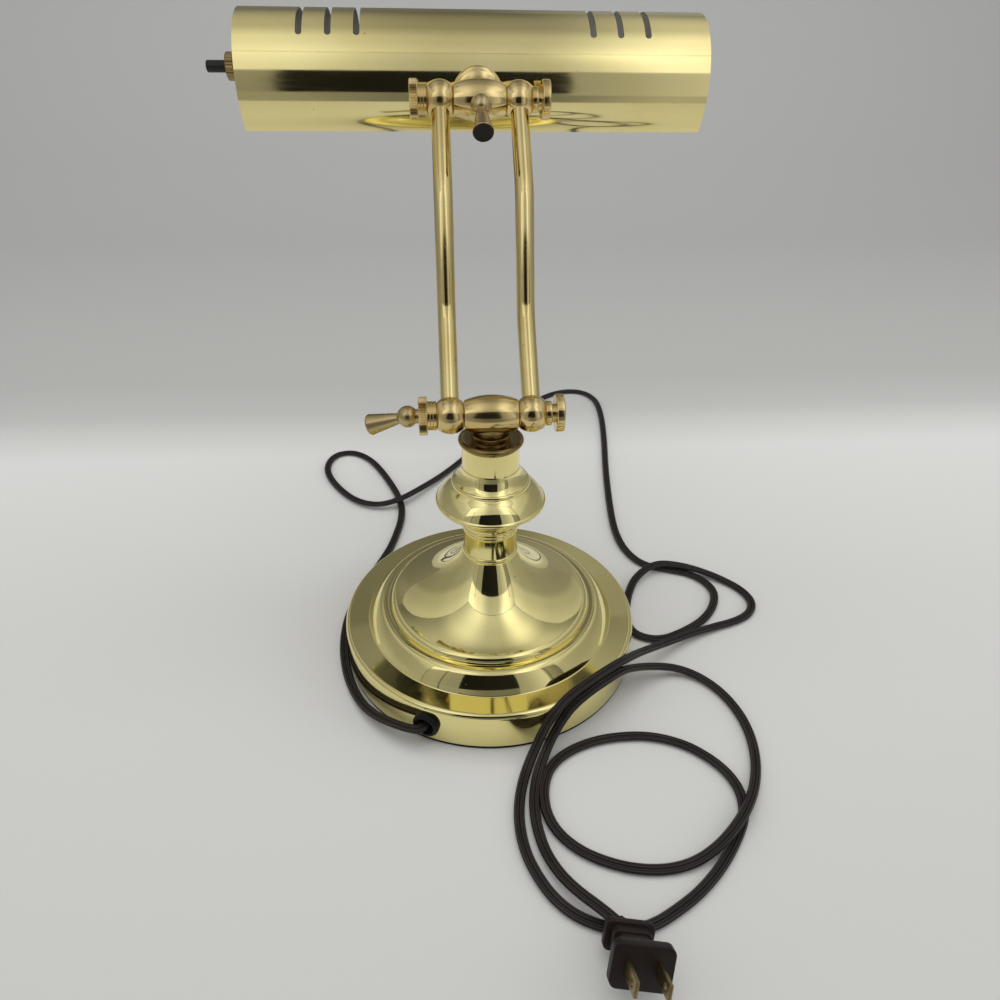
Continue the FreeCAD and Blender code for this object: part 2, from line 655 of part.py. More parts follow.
def rounded_wire(corners):
    """Straight runs joined by tangent arcs, each arc as wide as the shorter run beside it allows."""
    points = [FreeCAD.Vector(*corner) for corner in corners]
    edges = []
    radii = []
    place_now = points[0]
    for before, corner, after in zip(points, points[1:], points[2:]):
        way_in = corner - before
        way_out = after - corner
        trim = 0.45 * min(way_in.Length, way_out.Length)
        half_turn = way_in.getAngle(way_out) / 2
        radius = trim / math.tan(half_turn)
        way_in.normalize()
        way_out.normalize()
        arc_start = corner - way_in * trim
        arc_end = corner + way_out * trim
        inwards = (way_out - way_in).normalize()
        arc_middle = corner + inwards * (radius / math.cos(half_turn) - radius)
        edges.append(Part.LineSegment(place_now, arc_start).toShape())
        edges.append(Part.Arc(arc_start, arc_middle, arc_end).toShape())
        radii.append(radius)
        place_now = arc_end
    edges.append(Part.LineSegment(place_now, points[-1]).toShape())
    return Part.Wire(edges), radii


def tube_along(label, corners, radius):
    """A round tube along a rounded wire, with its bend radii and a check of its volume printed."""
    wire, radii = rounded_wire(corners)
    path = doc.addObject("Part::Feature", label + "_path")
    path.Shape = wire
    start = FreeCAD.Vector(*corners[0])
    direction = FreeCAD.Vector(*corners[1]) - start
    circle = doc.addObject("Part::Circle", label + "_round")
    circle.Radius = radius.value
    bind(circle, "Radius", radius)
    circle.Placement = FreeCAD.Placement(start, FreeCAD.Rotation(FreeCAD.Vector(0, 0, 1), direction))
    tube = doc.addObject("Part::Sweep", label)
    tube.Sections = [circle]
    tube.Spine = (path, ["Edge%d" % (index + 1) for index in range(len(wire.Edges))])
    tube.Solid = True
    tube.Frenet = False
    doc.recompute()
    expected = math.pi * radius.value ** 2 * wire.Length
    print("%s: length %.0f, volume %.1f of %.1f, radii %s" % (
        label, wire.Length, tube.Shape.Volume, expected, " ".join("%.0f" % radius for radius in radii)))
    if abs(tube.Shape.Volume / expected - 1) > 0.01:
        raise ValueError("%s is not a clean tube" % label)
    return tube


def make_inner_cord():
    """The cord inside the base: along the slot of the weight and up the threaded pipe."""
    body = new_body("inner_cord")
    start = S.base_radius - GROMMET_DEPTH
    bend = fixed(14)
    path = draw(new_sketch(body, "inner_cord_path"), [
        line(start, S.exit_height),
        line(bend, S.exit_height),
        curve(ZERO, S.exit_height + bend, bend, -1),
        line(ZERO, S.neck_top),
    ], closed=False)
    round_profile = new_sketch(body, "inner_cord_round", "YZ_Plane")
    round_profile.AttachmentOffset = FreeCAD.Placement(
        FreeCAD.Vector(0, S.exit_height.value, start.value), FreeCAD.Rotation())
    bind(round_profile, "AttachmentOffset.Base.y", S.exit_height)
    bind(round_profile, "AttachmentOffset.Base.z", start)
    circle = Part.Circle(FreeCAD.Vector(0, 0, 0), FreeCAD.Vector(0, 0, 1), S.cord_radius.value)
    round_profile.addGeometry(circle, False)
    round_profile.addConstraint([Sketcher.Constraint("Coincident", 0, 3, -1, 1),
                                 Sketcher.Constraint("Radius", 0, S.cord_radius.value)])
    bind(round_profile, "Constraints[1]", S.cord_radius)
    pipe = body.newObject("PartDesign::AdditivePipe", "inner_cord_pipe")
    pipe.Profile = round_profile
    pipe.Spine = (path, [])
    return place(body, (ZERO, ZERO, ZERO), (0, 0, 1), -S.exit_turn - 90)


def rounded_plate(label, width, height, corner, thick, start):
    """A plate with rounded corners across the plug, from a distance behind its front face."""
    body = new_body(label)
    x = width / 2
    y = height / 2
    steps = []
    for side_x, side_y in ((1, -1), (1, 1), (-1, 1), (-1, -1)):
        at_x = x * side_x
        at_y = y * side_y
        along_x = (at_x - corner * side_x, at_y)
        along_y = (at_x, at_y - corner * side_y)
        first, last = (along_x, along_y) if side_x != side_y else (along_y, along_x)
        steps.append(line(*first))
        steps.append(curve(last[0], last[1], corner, 1))
    draw(new_sketch(body, label + "_outline", "XY_Plane"), steps)
    pad = body.newObject("PartDesign::Pad", label + "_pad")
    pad.Profile = body.Group[0]
    pad.Length = thick.value
    bind(pad, "Length", thick)
    return at_plug(body, (ZERO, ZERO, start))


def at_plug(obj, local):
    """Puts a piece from the plug's own frame, whose +Z runs out along the blades, where the plug lies."""
    turn = FreeCAD.Rotation(FreeCAD.Vector(0, 0, 1), S.plug_yaw.value).multiply(
        FreeCAD.Rotation(FreeCAD.Vector(1, 0, 0), 90 - S.plug_pitch.value)).multiply(
        FreeCAD.Rotation(FreeCAD.Vector(0, 0, 1), S.plug_roll.value))
    point = FreeCAD.Vector(S.plug_x.value, S.plug_y.value, S.plug_z.value)
    shift = FreeCAD.Vector(*[number_of(size) for size in local])
    obj.Placement = FreeCAD.Placement(point + turn.multVec(shift), turn)
    return obj


def make_plug():
    """Two-blade plug: a front plate, a narrower grip, a rear plate and a boss that takes the cord."""
    rear = fixed(3)
    front = rounded_plate("plug_front", S.plug_width, S.plug_height, fixed(3.2), S.plug_depth, -S.plug_depth)
    grip_length = S.plug_back - S.plug_depth
    grip = rounded_plate("plug_grip", S.plug_width - 7, S.plug_height - 9, fixed(2), grip_length, -S.plug_back)
    rear_plate = rounded_plate("plug_rear", S.plug_width - 3.6, S.plug_height - 5.4, fixed(2.4), rear,
                               -S.plug_back - rear)
    end = FreeCAD.Vector(*CORD_CORNERS[-1])
    direction = end - FreeCAD.Vector(*CORD_CORNERS[-2])
    along_cord = FreeCAD.Rotation(FreeCAD.Vector(0, 0, 1), direction)
    direction.normalize()
    socket = 1.5
    boss = cylinder("plug_boss", S.cord_radius + 1.4, fixed(7))
    boss.Placement = FreeCAD.Placement(end - direction * socket, along_cord)
    room = cylinder("plug_cord_room", S.cord_radius, fixed(4))
    room.Placement = FreeCAD.Placement(end - direction * 4, along_cord)

    blades = []
    slots = []
    hidden = fixed(4)
    for side in (-1, 1):
        middle = S.blade_spread / 2 * side
        sizes = (S.blade_thick, S.blade_width, S.blade_reach + hidden)
        local = (middle - S.blade_thick / 2, -S.blade_width / 2, -hidden)
        name = "blade_left" if side < 0 else "blade_right"
        blade = at_plug(box(name, sizes, (ZERO, ZERO, ZERO)), local)
        hole = cylinder(name + "_hole", fixed(1.6), fixed(4))
        across = FreeCAD.Rotation(FreeCAD.Vector(0, 1, 0), 90)
        at_plug(hole, (middle - 2, ZERO, S.blade_reach - 4))
        hole.Placement = hole.Placement.multiply(FreeCAD.Placement(FreeCAD.Vector(), across))
        blades.append(cut(name, blade, [hole]))
        slots.append(at_plug(box(name + "_slot", sizes, (ZERO, ZERO, ZERO)), local))
    body = cut("plug_body", fuse("plug_solid", [front, grip, rear_plate, boss]), slots + [room])
    return [body, fuse("plug_blades", blades)]


# ---------------------------------------------------------------------------------------------
# Knuckles: both tilt joints have the same hub, balls, collar, ring, axle and nut
# ---------------------------------------------------------------------------------------------

def barrel_outline(half, end_radius, bulge, bore):
    """Outline of an egg or ball from 0 to its length along the axis, with its bore."""
    length = half * 2
    return [
        line(ZERO, bore),
        line(length, bore),
        line(length, end_radius),
        curve(ZERO, end_radius, bulge, 1),
    ]


def egg_outline():
    """Outline of a hub, whose flanks are one long arc."""
    half = S.hub_half
    rise = S.hub_radius - S.hub_end_radius
    bulge = (half * half + rise * rise) / (rise * 2)
    return barrel_outline(half, S.hub_end_radius, bulge, S.axle_radius + S.fit_gap)


def make_lower_hub():
    """Swivel hub on the pipe: an egg across the axle with a round foot on the check ring."""
    egg = revolved("lower_egg", egg_outline(), "H_Axis")
    place(egg, (-S.hub_half, ZERO, S.lower_axis))
    foot_bottom = S.neck_top + S.cap_thick + S.check_thick + S.joint_gap
    foot = cylinder("lower_foot", fixed(8.2), S.lower_axis - foot_bottom - 4, (ZERO, ZERO, foot_bottom))
    blank = fuse("lower_hub", [egg, foot])
    axle_room = cylinder("lower_axle_room", S.axle_radius + S.fit_gap, fixed(40),
                         (fixed(-20), ZERO, S.lower_axis), (0, 1, 0), fixed(90))
    pipe_room = cylinder("lower_pipe_room", S.pipe_radius + S.fit_gap, S.lower_axis - 4.5)
    return cut("lower_hub", blank, [axle_room, pipe_room])


def make_upper_hub():
    """Egg across the axle with a flared boss for the shade stem and a bore for the clamp screw."""
    bore = S.axle_radius + S.fit_gap
    egg = revolved("upper_egg", egg_outline(), "H_Axis")
    place(egg, (-S.hub_half, ZERO, ZERO))
    boss = revolved("upper_boss", [
        line(ZERO, fixed(5)),
        line(S.boss_neck, fixed(5)),
        line(S.boss_neck, S.boss_front - 3),
        curve(S.boss_radius - 0.8, S.boss_front, fixed(7), -1),
        curve(S.boss_radius - 0.8, S.boss_back, (S.boss_back - S.boss_front) * 0.525, 1),
        line(ZERO, S.boss_back),
    ])
    place(boss, (ZERO, ZERO, ZERO), (1, 0, 0), fixed(-90))
    blank = fuse("upper_hub", [egg, boss])
    axle_room = cylinder("upper_axle_room", bore, fixed(40), (fixed(-20), ZERO, ZERO), (0, 1, 0), fixed(90))
    stem_room = cylinder("upper_stem_room", S.stem_radius + S.fit_gap, fixed(30),
                         (ZERO, S.axle_radius + 0.9, ZERO), (1, 0, 0), fixed(-90))
    screw_room = cylinder("upper_screw_room", S.lever_screw + S.fit_gap, fixed(20),
                          (ZERO, ZERO, ZERO), (1, 0, 0), fixed(90))
    hub = cut("upper_hub", blank, [axle_room, stem_room, screw_room])
    return place(hub, (ZERO, UPPER_OUT, UPPER_AXIS), (1, 0, 0), S.stem_rise)


def make_balls():
    """Four true balls, cut flat at both sides, that carry the ends of the arm tubes on the axles."""
    half = S.ball_width / 2
    end_radius = root(S.ball_radius * S.ball_radius - half * half)
    balls = []
    for knuckle, out, axis, way in (("lower", ZERO, S.lower_axis, 1), ("upper", UPPER_OUT, UPPER_AXIS, -1)):
        for side, sign in (("left", -1), ("right", 1)):
            label = "ball_%s_%s" % (knuckle, side)
            ball = revolved(label, barrel_outline(half, end_radius, S.ball_radius, S.axle_radius), "H_Axis")
            place(ball, (-half, ZERO, ZERO))
            socket = cylinder(label + "_socket", S.arm_radius, fixed(20),
                              (ZERO, ZERO, S.arm_socket * way), (1, 0, 0), fixed(0 if way > 0 else 180))
            ball = cut(label, ball, [socket])
            balls.append(place(ball, (BALL_MIDDLE * sign, out, axis), (1, 0, 0), -S.arm_end_lean))
    return balls


def arm_path(body, name, clear):
    """Middle line of an arm in its own frame: up, a bend backwards, and up again."""
    kink = S.arm_end_lean - S.arm_middle_lean
    cut_back = S.arm_bend * tangent(kink / 2)
    lean_y = -sine(kink)
    lean_z = cosine(kink)
    top = S.arm_end_length + S.arm_middle_length * lean_z
    out = S.arm_middle_length * lean_y
    steps = [
        line(ZERO, clear),
        line(ZERO, S.arm_end_length - cut_back),
        curve(cut_back * lean_y, S.arm_end_length + cut_back * lean_z, S.arm_bend, 1),
        line(out - cut_back * lean_y, top - cut_back * lean_z),
        curve(out, top + cut_back, S.arm_bend, -1),
        line(out, top + S.arm_end_length - clear),
    ]
    return draw(new_sketch(body, name, "YZ_Plane"), steps, closed=False)


def swept(label, radius, bore, clear):
    """A round tube or wire along the middle line of an arm."""
    body = new_body(label)
    path = arm_path(body, label + "_path", clear)
    for index, size in enumerate([radius, bore]):
        if size is None:
            continue
        profile = new_sketch(body, "%s_round_%d" % (label, index), "XY_Plane")
        profile.AttachmentOffset = FreeCAD.Placement(FreeCAD.Vector(0, 0, clear.value), FreeCAD.Rotation())
        bind(profile, "AttachmentOffset.Base.z", clear)
        profile.addGeometry(Part.Circle(FreeCAD.Vector(0, 0, 0), FreeCAD.Vector(0, 0, 1), size.value), False)
        profile.addConstraint([Sketcher.Constraint("Coincident", 0, 3, -1, 1),
                               Sketcher.Constraint("Radius", 0, size.value)])
        bind(profile, "Constraints[1]", size)
        kind = "PartDesign::SubtractivePipe" if index else "PartDesign::AdditivePipe"
        pipe = body.newObject(kind, "%s_pipe_%d" % (label, index))
        pipe.Profile = profile
        pipe.Spine = (path, [])
    return body


def make_arms():
    pieces = []
    for side, sign in (("left", -1), ("right", 1)):
        tube = swept("arm_tube_" + side, S.arm_radius, S.arm_bore, S.arm_socket)
        pieces.append(place(tube, (BALL_MIDDLE * sign, ZERO, S.lower_axis), (1, 0, 0), -S.arm_end_lean))
    lead = swept("arm_lead", S.lead_radius, None, S.arm_socket + 0.6)
    pieces.append(place(lead, (BALL_MIDDLE, ZERO, S.lower_axis), (1, 0, 0), -S.arm_end_lean))
    return pieces


def make_axle_set(knuckle, out, axis, screw_bore):
    """Axle with a knurled head on the right; ring, grooved collar and knurled nut on it."""
    head_from = BALL_END + S.ring_thick + S.head_neck
    nut_from = BALL_END + S.collar_thick
    left_end = nut_from + S.head_thick
    edge = S.head_edge
    hollow = S.lever_screw + S.fit_gap if screw_bore else ZERO
    blind = fixed(9) if screw_bore else ZERO
    start = ZERO
    steps = [
        line(start, hollow),
        line(start, S.axle_radius),
        line(left_end + head_from - S.head_neck, S.axle_radius),
        line(left_end + head_from - S.head_neck, S.head_neck_radius),
        line(left_end + head_from, S.head_neck_radius),
        line(left_end + head_from, S.head_radius - edge),
        line(left_end + head_from + edge, S.head_radius),
        line(left_end + head_from + S.head_thick - edge, S.head_radius),
        line(left_end + head_from + S.head_thick, S.head_radius - edge),
        line(left_end + head_from + S.head_thick, ZERO),
    ]
    if screw_bore:
        steps += [line(blind, ZERO), line(blind, hollow)]
    steps.reverse()
    axle = place(revolved(knuckle + "_axle", steps, "H_Axis"), (-left_end, out, axis))
    collar = revolved(knuckle + "_collar", grooved_collar(), "H_Axis")
    place(collar, (-nut_from, out, axis))
    washer = ring(knuckle + "_ring", S.axle_radius, S.ring_radius, S.ring_thick, fixed(0.4))
    place(washer, (BALL_END, out, axis))
    nut = ring(knuckle + "_nut", S.axle_radius, S.head_radius, S.head_thick, edge)
    place(nut, (-left_end, out, axis))
    return [axle, collar, washer, nut]


def grooved_collar():
    """Collar outline with two fine grooves round it."""
    inner = S.axle_radius
    outer = S.collar_radius
    thick = S.collar_thick
    depth = 0.5
    half_groove = 0.3
    steps = [line(ZERO, inner), line(thick, inner), line(thick, outer)]
    for share in (0.66, 0.33):
        middle = thick * share
        steps.append(line(middle + half_groove, outer))
        steps.append(line(middle, outer - depth))
        steps.append(line(middle - half_groove, outer))
    steps.append(line(ZERO, outer))
    return steps


def make_lever(label, screw_length):
    """Clamp lever in its own frame: screw towards +X, ball, and a bent handle that widens outwards."""
    ball = doc.addObject("Part::Sphere", label + "_ball")
    ball.Radius = S.lever_ball.value
    bind(ball, "Radius", S.lever_ball)
    screw = cylinder(label + "_screw", S.lever_screw, S.lever_ball + screw_length, (ZERO, ZERO, ZERO),
                     (0, 1, 0), fixed(90))
    seat = cylinder(label + "_seat", fixed(3.6), S.lever_ball, (ZERO, ZERO, ZERO), (0, 1, 0), fixed(90))
    handle = revolved(label + "_handle", [
        line(ZERO, ZERO),
        line(S.lever_root, ZERO),
        line(S.lever_root, S.lever_ball),
        line(S.lever_tip - 0.3, S.lever_reach - 1.2),
        curve(S.lever_tip - 0.8, S.lever_reach, fixed(1.0), 1),
        line(ZERO, S.lever_reach),
    ])
    handle_turn = S.lever_bend - 90
    place(handle, (ZERO, ZERO, ZERO), (0, 1, 0), handle_turn)
    return fuse(label, [ball, screw, seat, handle])


def make_levers():
    """The lower lever screws into the axle, the upper one into the hub against its axle."""
    gap = S.joint_gap
    lower = make_lever("lower_lever", fixed(7.6))
    left_end = BALL_END + S.collar_thick + S.head_thick
    place(lower, (-(left_end + S.lever_ball + gap), ZERO, S.lower_axis), (1, 0, 0),
          S.lever_turn_lower - 90)
    upper = make_lever("upper_lever", S.hub_radius - S.axle_radius)
    back = S.hub_radius + S.lever_ball + gap * 2
    rotation = FreeCAD.Rotation(FreeCAD.Vector(1, 0, 0), S.stem_rise.value).multiply(
        FreeCAD.Rotation(FreeCAD.Vector(0, 0, 1), 90)).multiply(
        FreeCAD.Rotation(FreeCAD.Vector(1, 0, 0), S.lever_turn_upper.value))
    point = FreeCAD.Vector(0, (UPPER_OUT - back * cosine(S.stem_rise)).value,
                           (UPPER_AXIS - back * sine(S.stem_rise)).value)
    upper.Placement = FreeCAD.Placement(point, rotation)
    bind(upper, "Placement.Base.y", UPPER_OUT - back * cosine(S.stem_rise))
    bind(upper, "Placement.Base.z", UPPER_AXIS - back * sine(S.stem_rise))
    return [lower, upper]


# ---------------------------------------------------------------------------------------------
# Shade and what it holds. The shade's pieces lie along the stem, which rises from the upper axis.
# ---------------------------------------------------------------------------------------------

def on_stem(obj, along, axis=(1, 0, 0), extra=fixed(0)):
    """Puts a piece that was made along its own Z on the stem, a distance from the upper axis."""
    out = UPPER_OUT + along * cosine(S.stem_rise)
    height = UPPER_AXIS + along * sine(S.stem_rise)
    return place(obj, (ZERO, out, height), axis, S.stem_rise - 90 + extra)


def shade_drum(name, radius, length=None):
    """Cylinder along X round the axis of the shade."""
    length = S.shade_length + 20 if length is None else length
    return cylinder(name, radius, length, (-length / 2, SHADE_OUT, SHADE_AXIS), (0, 1, 0), fixed(90))


def make_stem_parts():
    """Hollow stem that swivels in the hub, with saddle washers and a nut that hold the shade on it."""
    wall_near = S.shade_offset - S.shade_radius
    wall_inside = wall_near + S.shade_wall
    start = S.axle_radius + 1.4
    stem_end = wall_inside + 7
    stem = ring("shade_stem", S.stem_bore, S.stem_radius, stem_end - start, fixed(0.3), "V_Axis")
    on_stem(stem, start)
    pieces = [stem]

    outer_start = S.boss_back + S.joint_gap
    outer_blank = on_stem(ring("outer_saddle_blank", S.stem_radius, S.saddle_radius, fixed(5), fixed(0.5),
                               "V_Axis"), outer_start)
    pieces.append(cut("outer_saddle", outer_blank, [shade_drum("outer_saddle_drum", S.shade_radius)]))

    inner_thick = fixed(2.6)
    inner_radius = S.saddle_radius - 2
    inner_blank = on_stem(ring("inner_saddle_blank", S.stem_radius, inner_radius, inner_thick,
                               fixed(0.2), "V_Axis"), wall_inside)
    pieces.append(common("inner_saddle", [inner_blank, shade_drum("inner_saddle_drum",
                                                                 S.shade_radius - S.shade_wall)]))
    nut_from = wall_inside + inner_thick
    nut = on_stem(prism("stem_nut_blank", S.stem_nut_flats, S.stem_nut_thick), nut_from)
    bore = on_stem(cylinder("stem_nut_bore", S.stem_radius, fixed(40)), start)
    pieces.append(cut("stem_nut", nut, [bore]))
    return pieces


def arc_steps(radius, first, last, centre_y, centre_z):
    """Start and end points of an arc round the shade's axis, by angles in degrees."""
    start = (centre_y + radius * cosine(first), centre_z + radius * sine(first))
    end = (centre_y + radius * cosine(last), centre_z + radius * sine(last))
    return start, end


def draw_arc_band(sketch, outer, inner, first, last):
    """A strip between two arcs round the origin of the sketch, more than half a turn long."""
    outer_start, outer_end = arc_steps(outer, first, last, ZERO, ZERO)
    inner_start, inner_end = arc_steps(inner, first, last, ZERO, ZERO)
    middle = (first + last) / 2
    outer_top = (outer * cosine(middle), outer * sine(middle))
    inner_top = (inner * cosine(middle), inner * sine(middle))
    steps = [
        line(*outer_start),
        curve(*outer_top, outer, 1),
        curve(*outer_end, outer, 1),
        line(*inner_end),
        curve(*inner_top, inner, -1),
        curve(*inner_start, inner, -1),
    ]
    return draw(sketch, steps)


def make_shade_shell():
    """Rolled sheet round most of a circle, open below, with vent slots over the top at both ends."""
    body = new_body("shade_shell")
    sketch = draw_arc_band(new_sketch(body, "shade_outline", "YZ_Plane"), S.shade_radius,
                           S.shade_radius - S.shade_wall, S.shade_far_edge, S.shade_near_edge)
    pad = body.newObject("PartDesign::Pad", "shade_sheet")
    pad.Profile = sketch
    pad.Midplane = True
    pad.Length = S.shade_length.value
    bind(pad, "Length", S.shade_length)
    place(body, (ZERO, SHADE_OUT, SHADE_AXIS))
    return cut("shade_shell", body, vent_tools() + [shade_stem_drill()])


def shade_stem_drill():
    return on_stem(cylinder("shade_stem_hole", S.stem_radius, fixed(12)), S.boss_back)


def vent_tools():
    """Cutters of all the slots: a sector slice over the top and a drill at each of its ends."""
    tools = []
    for side, sign in (("left", -1), ("right", 1)):
        for index in range(int(S.slot_count.value)):
            x = (SHADE_END - S.slot_inset - S.slot_pitch * index) * sign
            name = "vent_%s_%d" % (side, index + 1)
            tools.append(vent_sector(name, x))
            for end in (S.slot_from, S.slot_to):
                tools.append(cylinder("%s_end_%d" % (name, end.value), S.slot_width / 2, S.shade_radius + 5,
                                      (x, SHADE_OUT, SHADE_AXIS), (1, 0, 0), fixed(90) - end))
    return tools


def vent_sector(name, x):
    """A thin sector round the shade's axis, from one end of a slot to the other."""
    sector = cylinder(name, S.shade_radius + 3, S.slot_width)
    sector.Angle = (S.slot_to - S.slot_from).value
    bind(sector, "Angle", S.slot_to - S.slot_from)
    start = x - S.slot_width / 2
    along_x = FreeCAD.Rotation(FreeCAD.Vector(0, 1, 0), 90)
    to_far_end = FreeCAD.Rotation(FreeCAD.Vector(1, 0, 0), 270 - S.slot_to.value)
    sector.Placement = FreeCAD.Placement(
        FreeCAD.Vector(start.value, SHADE_OUT.value, SHADE_AXIS.value), to_far_end.multiply(along_x))
    for axis, size in zip("xyz", (start, SHADE_OUT, SHADE_AXIS)):
        bind(sector, "Placement.Base.%s" % axis, size)
    return sector


def cap_steps(radius, trim):
    """Outline of an end cap: the shade's circle, cut off straight between the two edges."""
    first, last = S.shade_far_edge, S.shade_near_edge
    start, end = arc_steps(radius, first, last, ZERO, ZERO)
    middle = (first + last) / 2
    top = (radius * cosine(middle), radius * sine(middle))
    return [line(start[0], start[1] + trim), curve(*top, radius, 1), curve(end[0], end[1] + trim, radius, 1)]


def make_end_caps():
    """Pressed caps: a flat end with a flange that lies against the inside of the shade."""
    caps = []
    inner = S.shade_radius - S.shade_wall
    wall = S.shade_wall
    for side, sign in (("left", -1), ("right", 1)):
        label = "end_cap_" + side
        body = new_body(label + "_pan")
        sketch = draw(new_sketch(body, label + "_outline", "YZ_Plane"), cap_steps(inner, ZERO))
        pad = body.newObject("PartDesign::Pad", label + "_pad")
        pad.Profile = sketch
        pad.Length = S.cap_flange.value
        bind(pad, "Length", S.cap_flange)
        hollow = new_sketch(body, label + "_hollow", "YZ_Plane")
        hollow.AttachmentOffset = FreeCAD.Placement(FreeCAD.Vector(0, 0, wall.value), FreeCAD.Rotation())
        bind(hollow, "AttachmentOffset.Base.z", wall)
        draw(hollow, cap_steps(inner - wall, ZERO))
        doc.recompute()
        pocket = body.newObject("PartDesign::Pocket", label + "_pocket")
        pocket.Profile = hollow
        pocket.Length = S.cap_flange.value
        pocket.Reversed = True
        body.Label = label
        point = (SHADE_END * sign, SHADE_OUT, SHADE_AXIS)
        if sign < 0:
            place(body, point)
            bore = cylinder("switch_hole", S.switch_bush, fixed(20),
                            (-(SHADE_END + 10), SHADE_OUT, SHADE_AXIS + S.switch_rise), (0, 1, 0), fixed(90))
            caps.append(cut(label, body, [bore]))
        else:
            mirror = doc.addObject("Part::Mirroring", label + "_mirror")
            mirror.Source = body
            mirror.Normal = (1, 0, 0)
            body.Label = label + "_pan"
            mirror.Label = label
            caps.append(place(mirror, point))
    return caps


def make_lamp_parts():
    """Lampholder on a strip, and a tubular bulb screwed into it."""
    holder_from = -(SHADE_END - S.holder_inset)
    floor = fixed(14)
    sleeve = S.holder_length - 12
    holder = revolved("lampholder", [
        line(ZERO, ZERO),
        line(ZERO, S.holder_radius - 4),
        line(fixed(5), S.holder_radius - 1.5),
        line(sleeve, S.holder_radius - 1.5),
        line(sleeve, S.holder_radius),
        line(S.holder_length, S.holder_radius),
        line(S.holder_length, S.bulb_cap_radius),
        line(floor, S.bulb_cap_radius),
        line(floor, ZERO),
    ], "H_Axis")
    place(holder, (holder_from, SHADE_OUT, SHADE_AXIS))
    cap_length = S.holder_length - floor
    cap_wall = 1.6
    bulb_cap = revolved("bulb_cap", [
        line(ZERO, ZERO),
        line(ZERO, fixed(4)),
        line(fixed(2), fixed(5)),
        line(fixed(3), S.bulb_cap_radius),
        line(cap_length, S.bulb_cap_radius),
        line(cap_length, S.bulb_cap_radius - cap_wall),
        line(fixed(4.5), S.bulb_cap_radius - cap_wall),
        line(fixed(4.5), ZERO),
    ], "H_Axis")
    place(bulb_cap, (holder_from + floor, SHADE_OUT, SHADE_AXIS))
    glass_from = holder_from + S.holder_length
    glass_wall = 1.0
    glass_neck = fixed(11.5)
    shoulder = fixed(8)
    dome = 12
    glass = revolved("bulb_glass", [
        curve(ZERO, glass_neck - glass_wall, fixed(14), 1),
        line(ZERO, glass_neck),
        curve(shoulder, S.bulb_radius, fixed(14), -1),
        line(S.bulb_length - dome, S.bulb_radius),
        curve(S.bulb_length, ZERO, fixed(15.5), -1),
        line(S.bulb_length - glass_wall, ZERO),
        curve(S.bulb_length - dome, S.bulb_radius - glass_wall, fixed(14.5), 1),
        line(shoulder, S.bulb_radius - glass_wall),
    ], "H_Axis")
    place(glass, (glass_from, SHADE_OUT, SHADE_AXIS))
    strip = make_holder_strip(holder_from)
    return [holder, bulb_cap, glass, strip]


def make_leads():
    """Wires in the shade: from the stem along the far side to the switch, and back to the holder."""
    holder_back = -(SHADE_END - S.holder_inset).value
    switch_back = -(SHADE_END - S.shade_wall - SWITCH_BODY).value
    switch_side = switch_back - 4
    switch_rise = (SHADE_AXIS + S.switch_rise).value
    side_out = (SHADE_OUT - SWITCH_WIDTH / 2).value

    def near_shade(x, along, up=0.0):
        """A point by its distance from the shade's axis along the stem, measured back to the hub."""
        tilt = math.radians(S.stem_rise.value)
        out = SHADE_OUT.value + along * math.cos(tilt) - up * math.sin(tilt)
        return (x, out, SHADE_AXIS.value + along * math.sin(tilt) + up * math.cos(tilt))

    supply = tube_along("shade_lead", [
        near_shade(0, -33.0), near_shade(0, -25.0, 0.5), near_shade(-10, -21.5, 1.0),
        near_shade(-30, -22.5, 1.2), near_shade(-62, -22.0, 0.6), near_shade(-88, -20.8, 1.5),
        near_shade(-105, -19.5, 4.0), (switch_side, side_out - 8, switch_rise - 0.6),
        (switch_side - 2, side_out - 3.5, switch_rise), (switch_side - 2, side_out, switch_rise),
    ], S.wire_radius)
    link = cylinder("switch_lead", S.wire_radius, fixed(holder_back - switch_back),
                    (fixed(switch_back), SHADE_OUT + 3, SHADE_AXIS + 8.2), (0, 1, 0), fixed(90))
    return [supply, link]


def make_holder_strip(holder_from):
    """Bent strip from the left end cap to the back of the lampholder."""
    thick = fixed(1.2)
    width = fixed(12)
    cap_inside = -(SHADE_END - S.shade_wall)
    drop = fixed(18)
    low = SHADE_AXIS - drop
    foot = box("strip_foot", (thick, width, fixed(10)), (cap_inside, SHADE_OUT - width / 2, low))
    run = box("strip_run", (holder_from - cap_inside, width, thick), (cap_inside, SHADE_OUT - width / 2, low))
    post = box("strip_post", (thick, width, drop + 6), (holder_from - thick, SHADE_OUT - width / 2, low))
    return fuse("holder_strip", [foot, run, post])


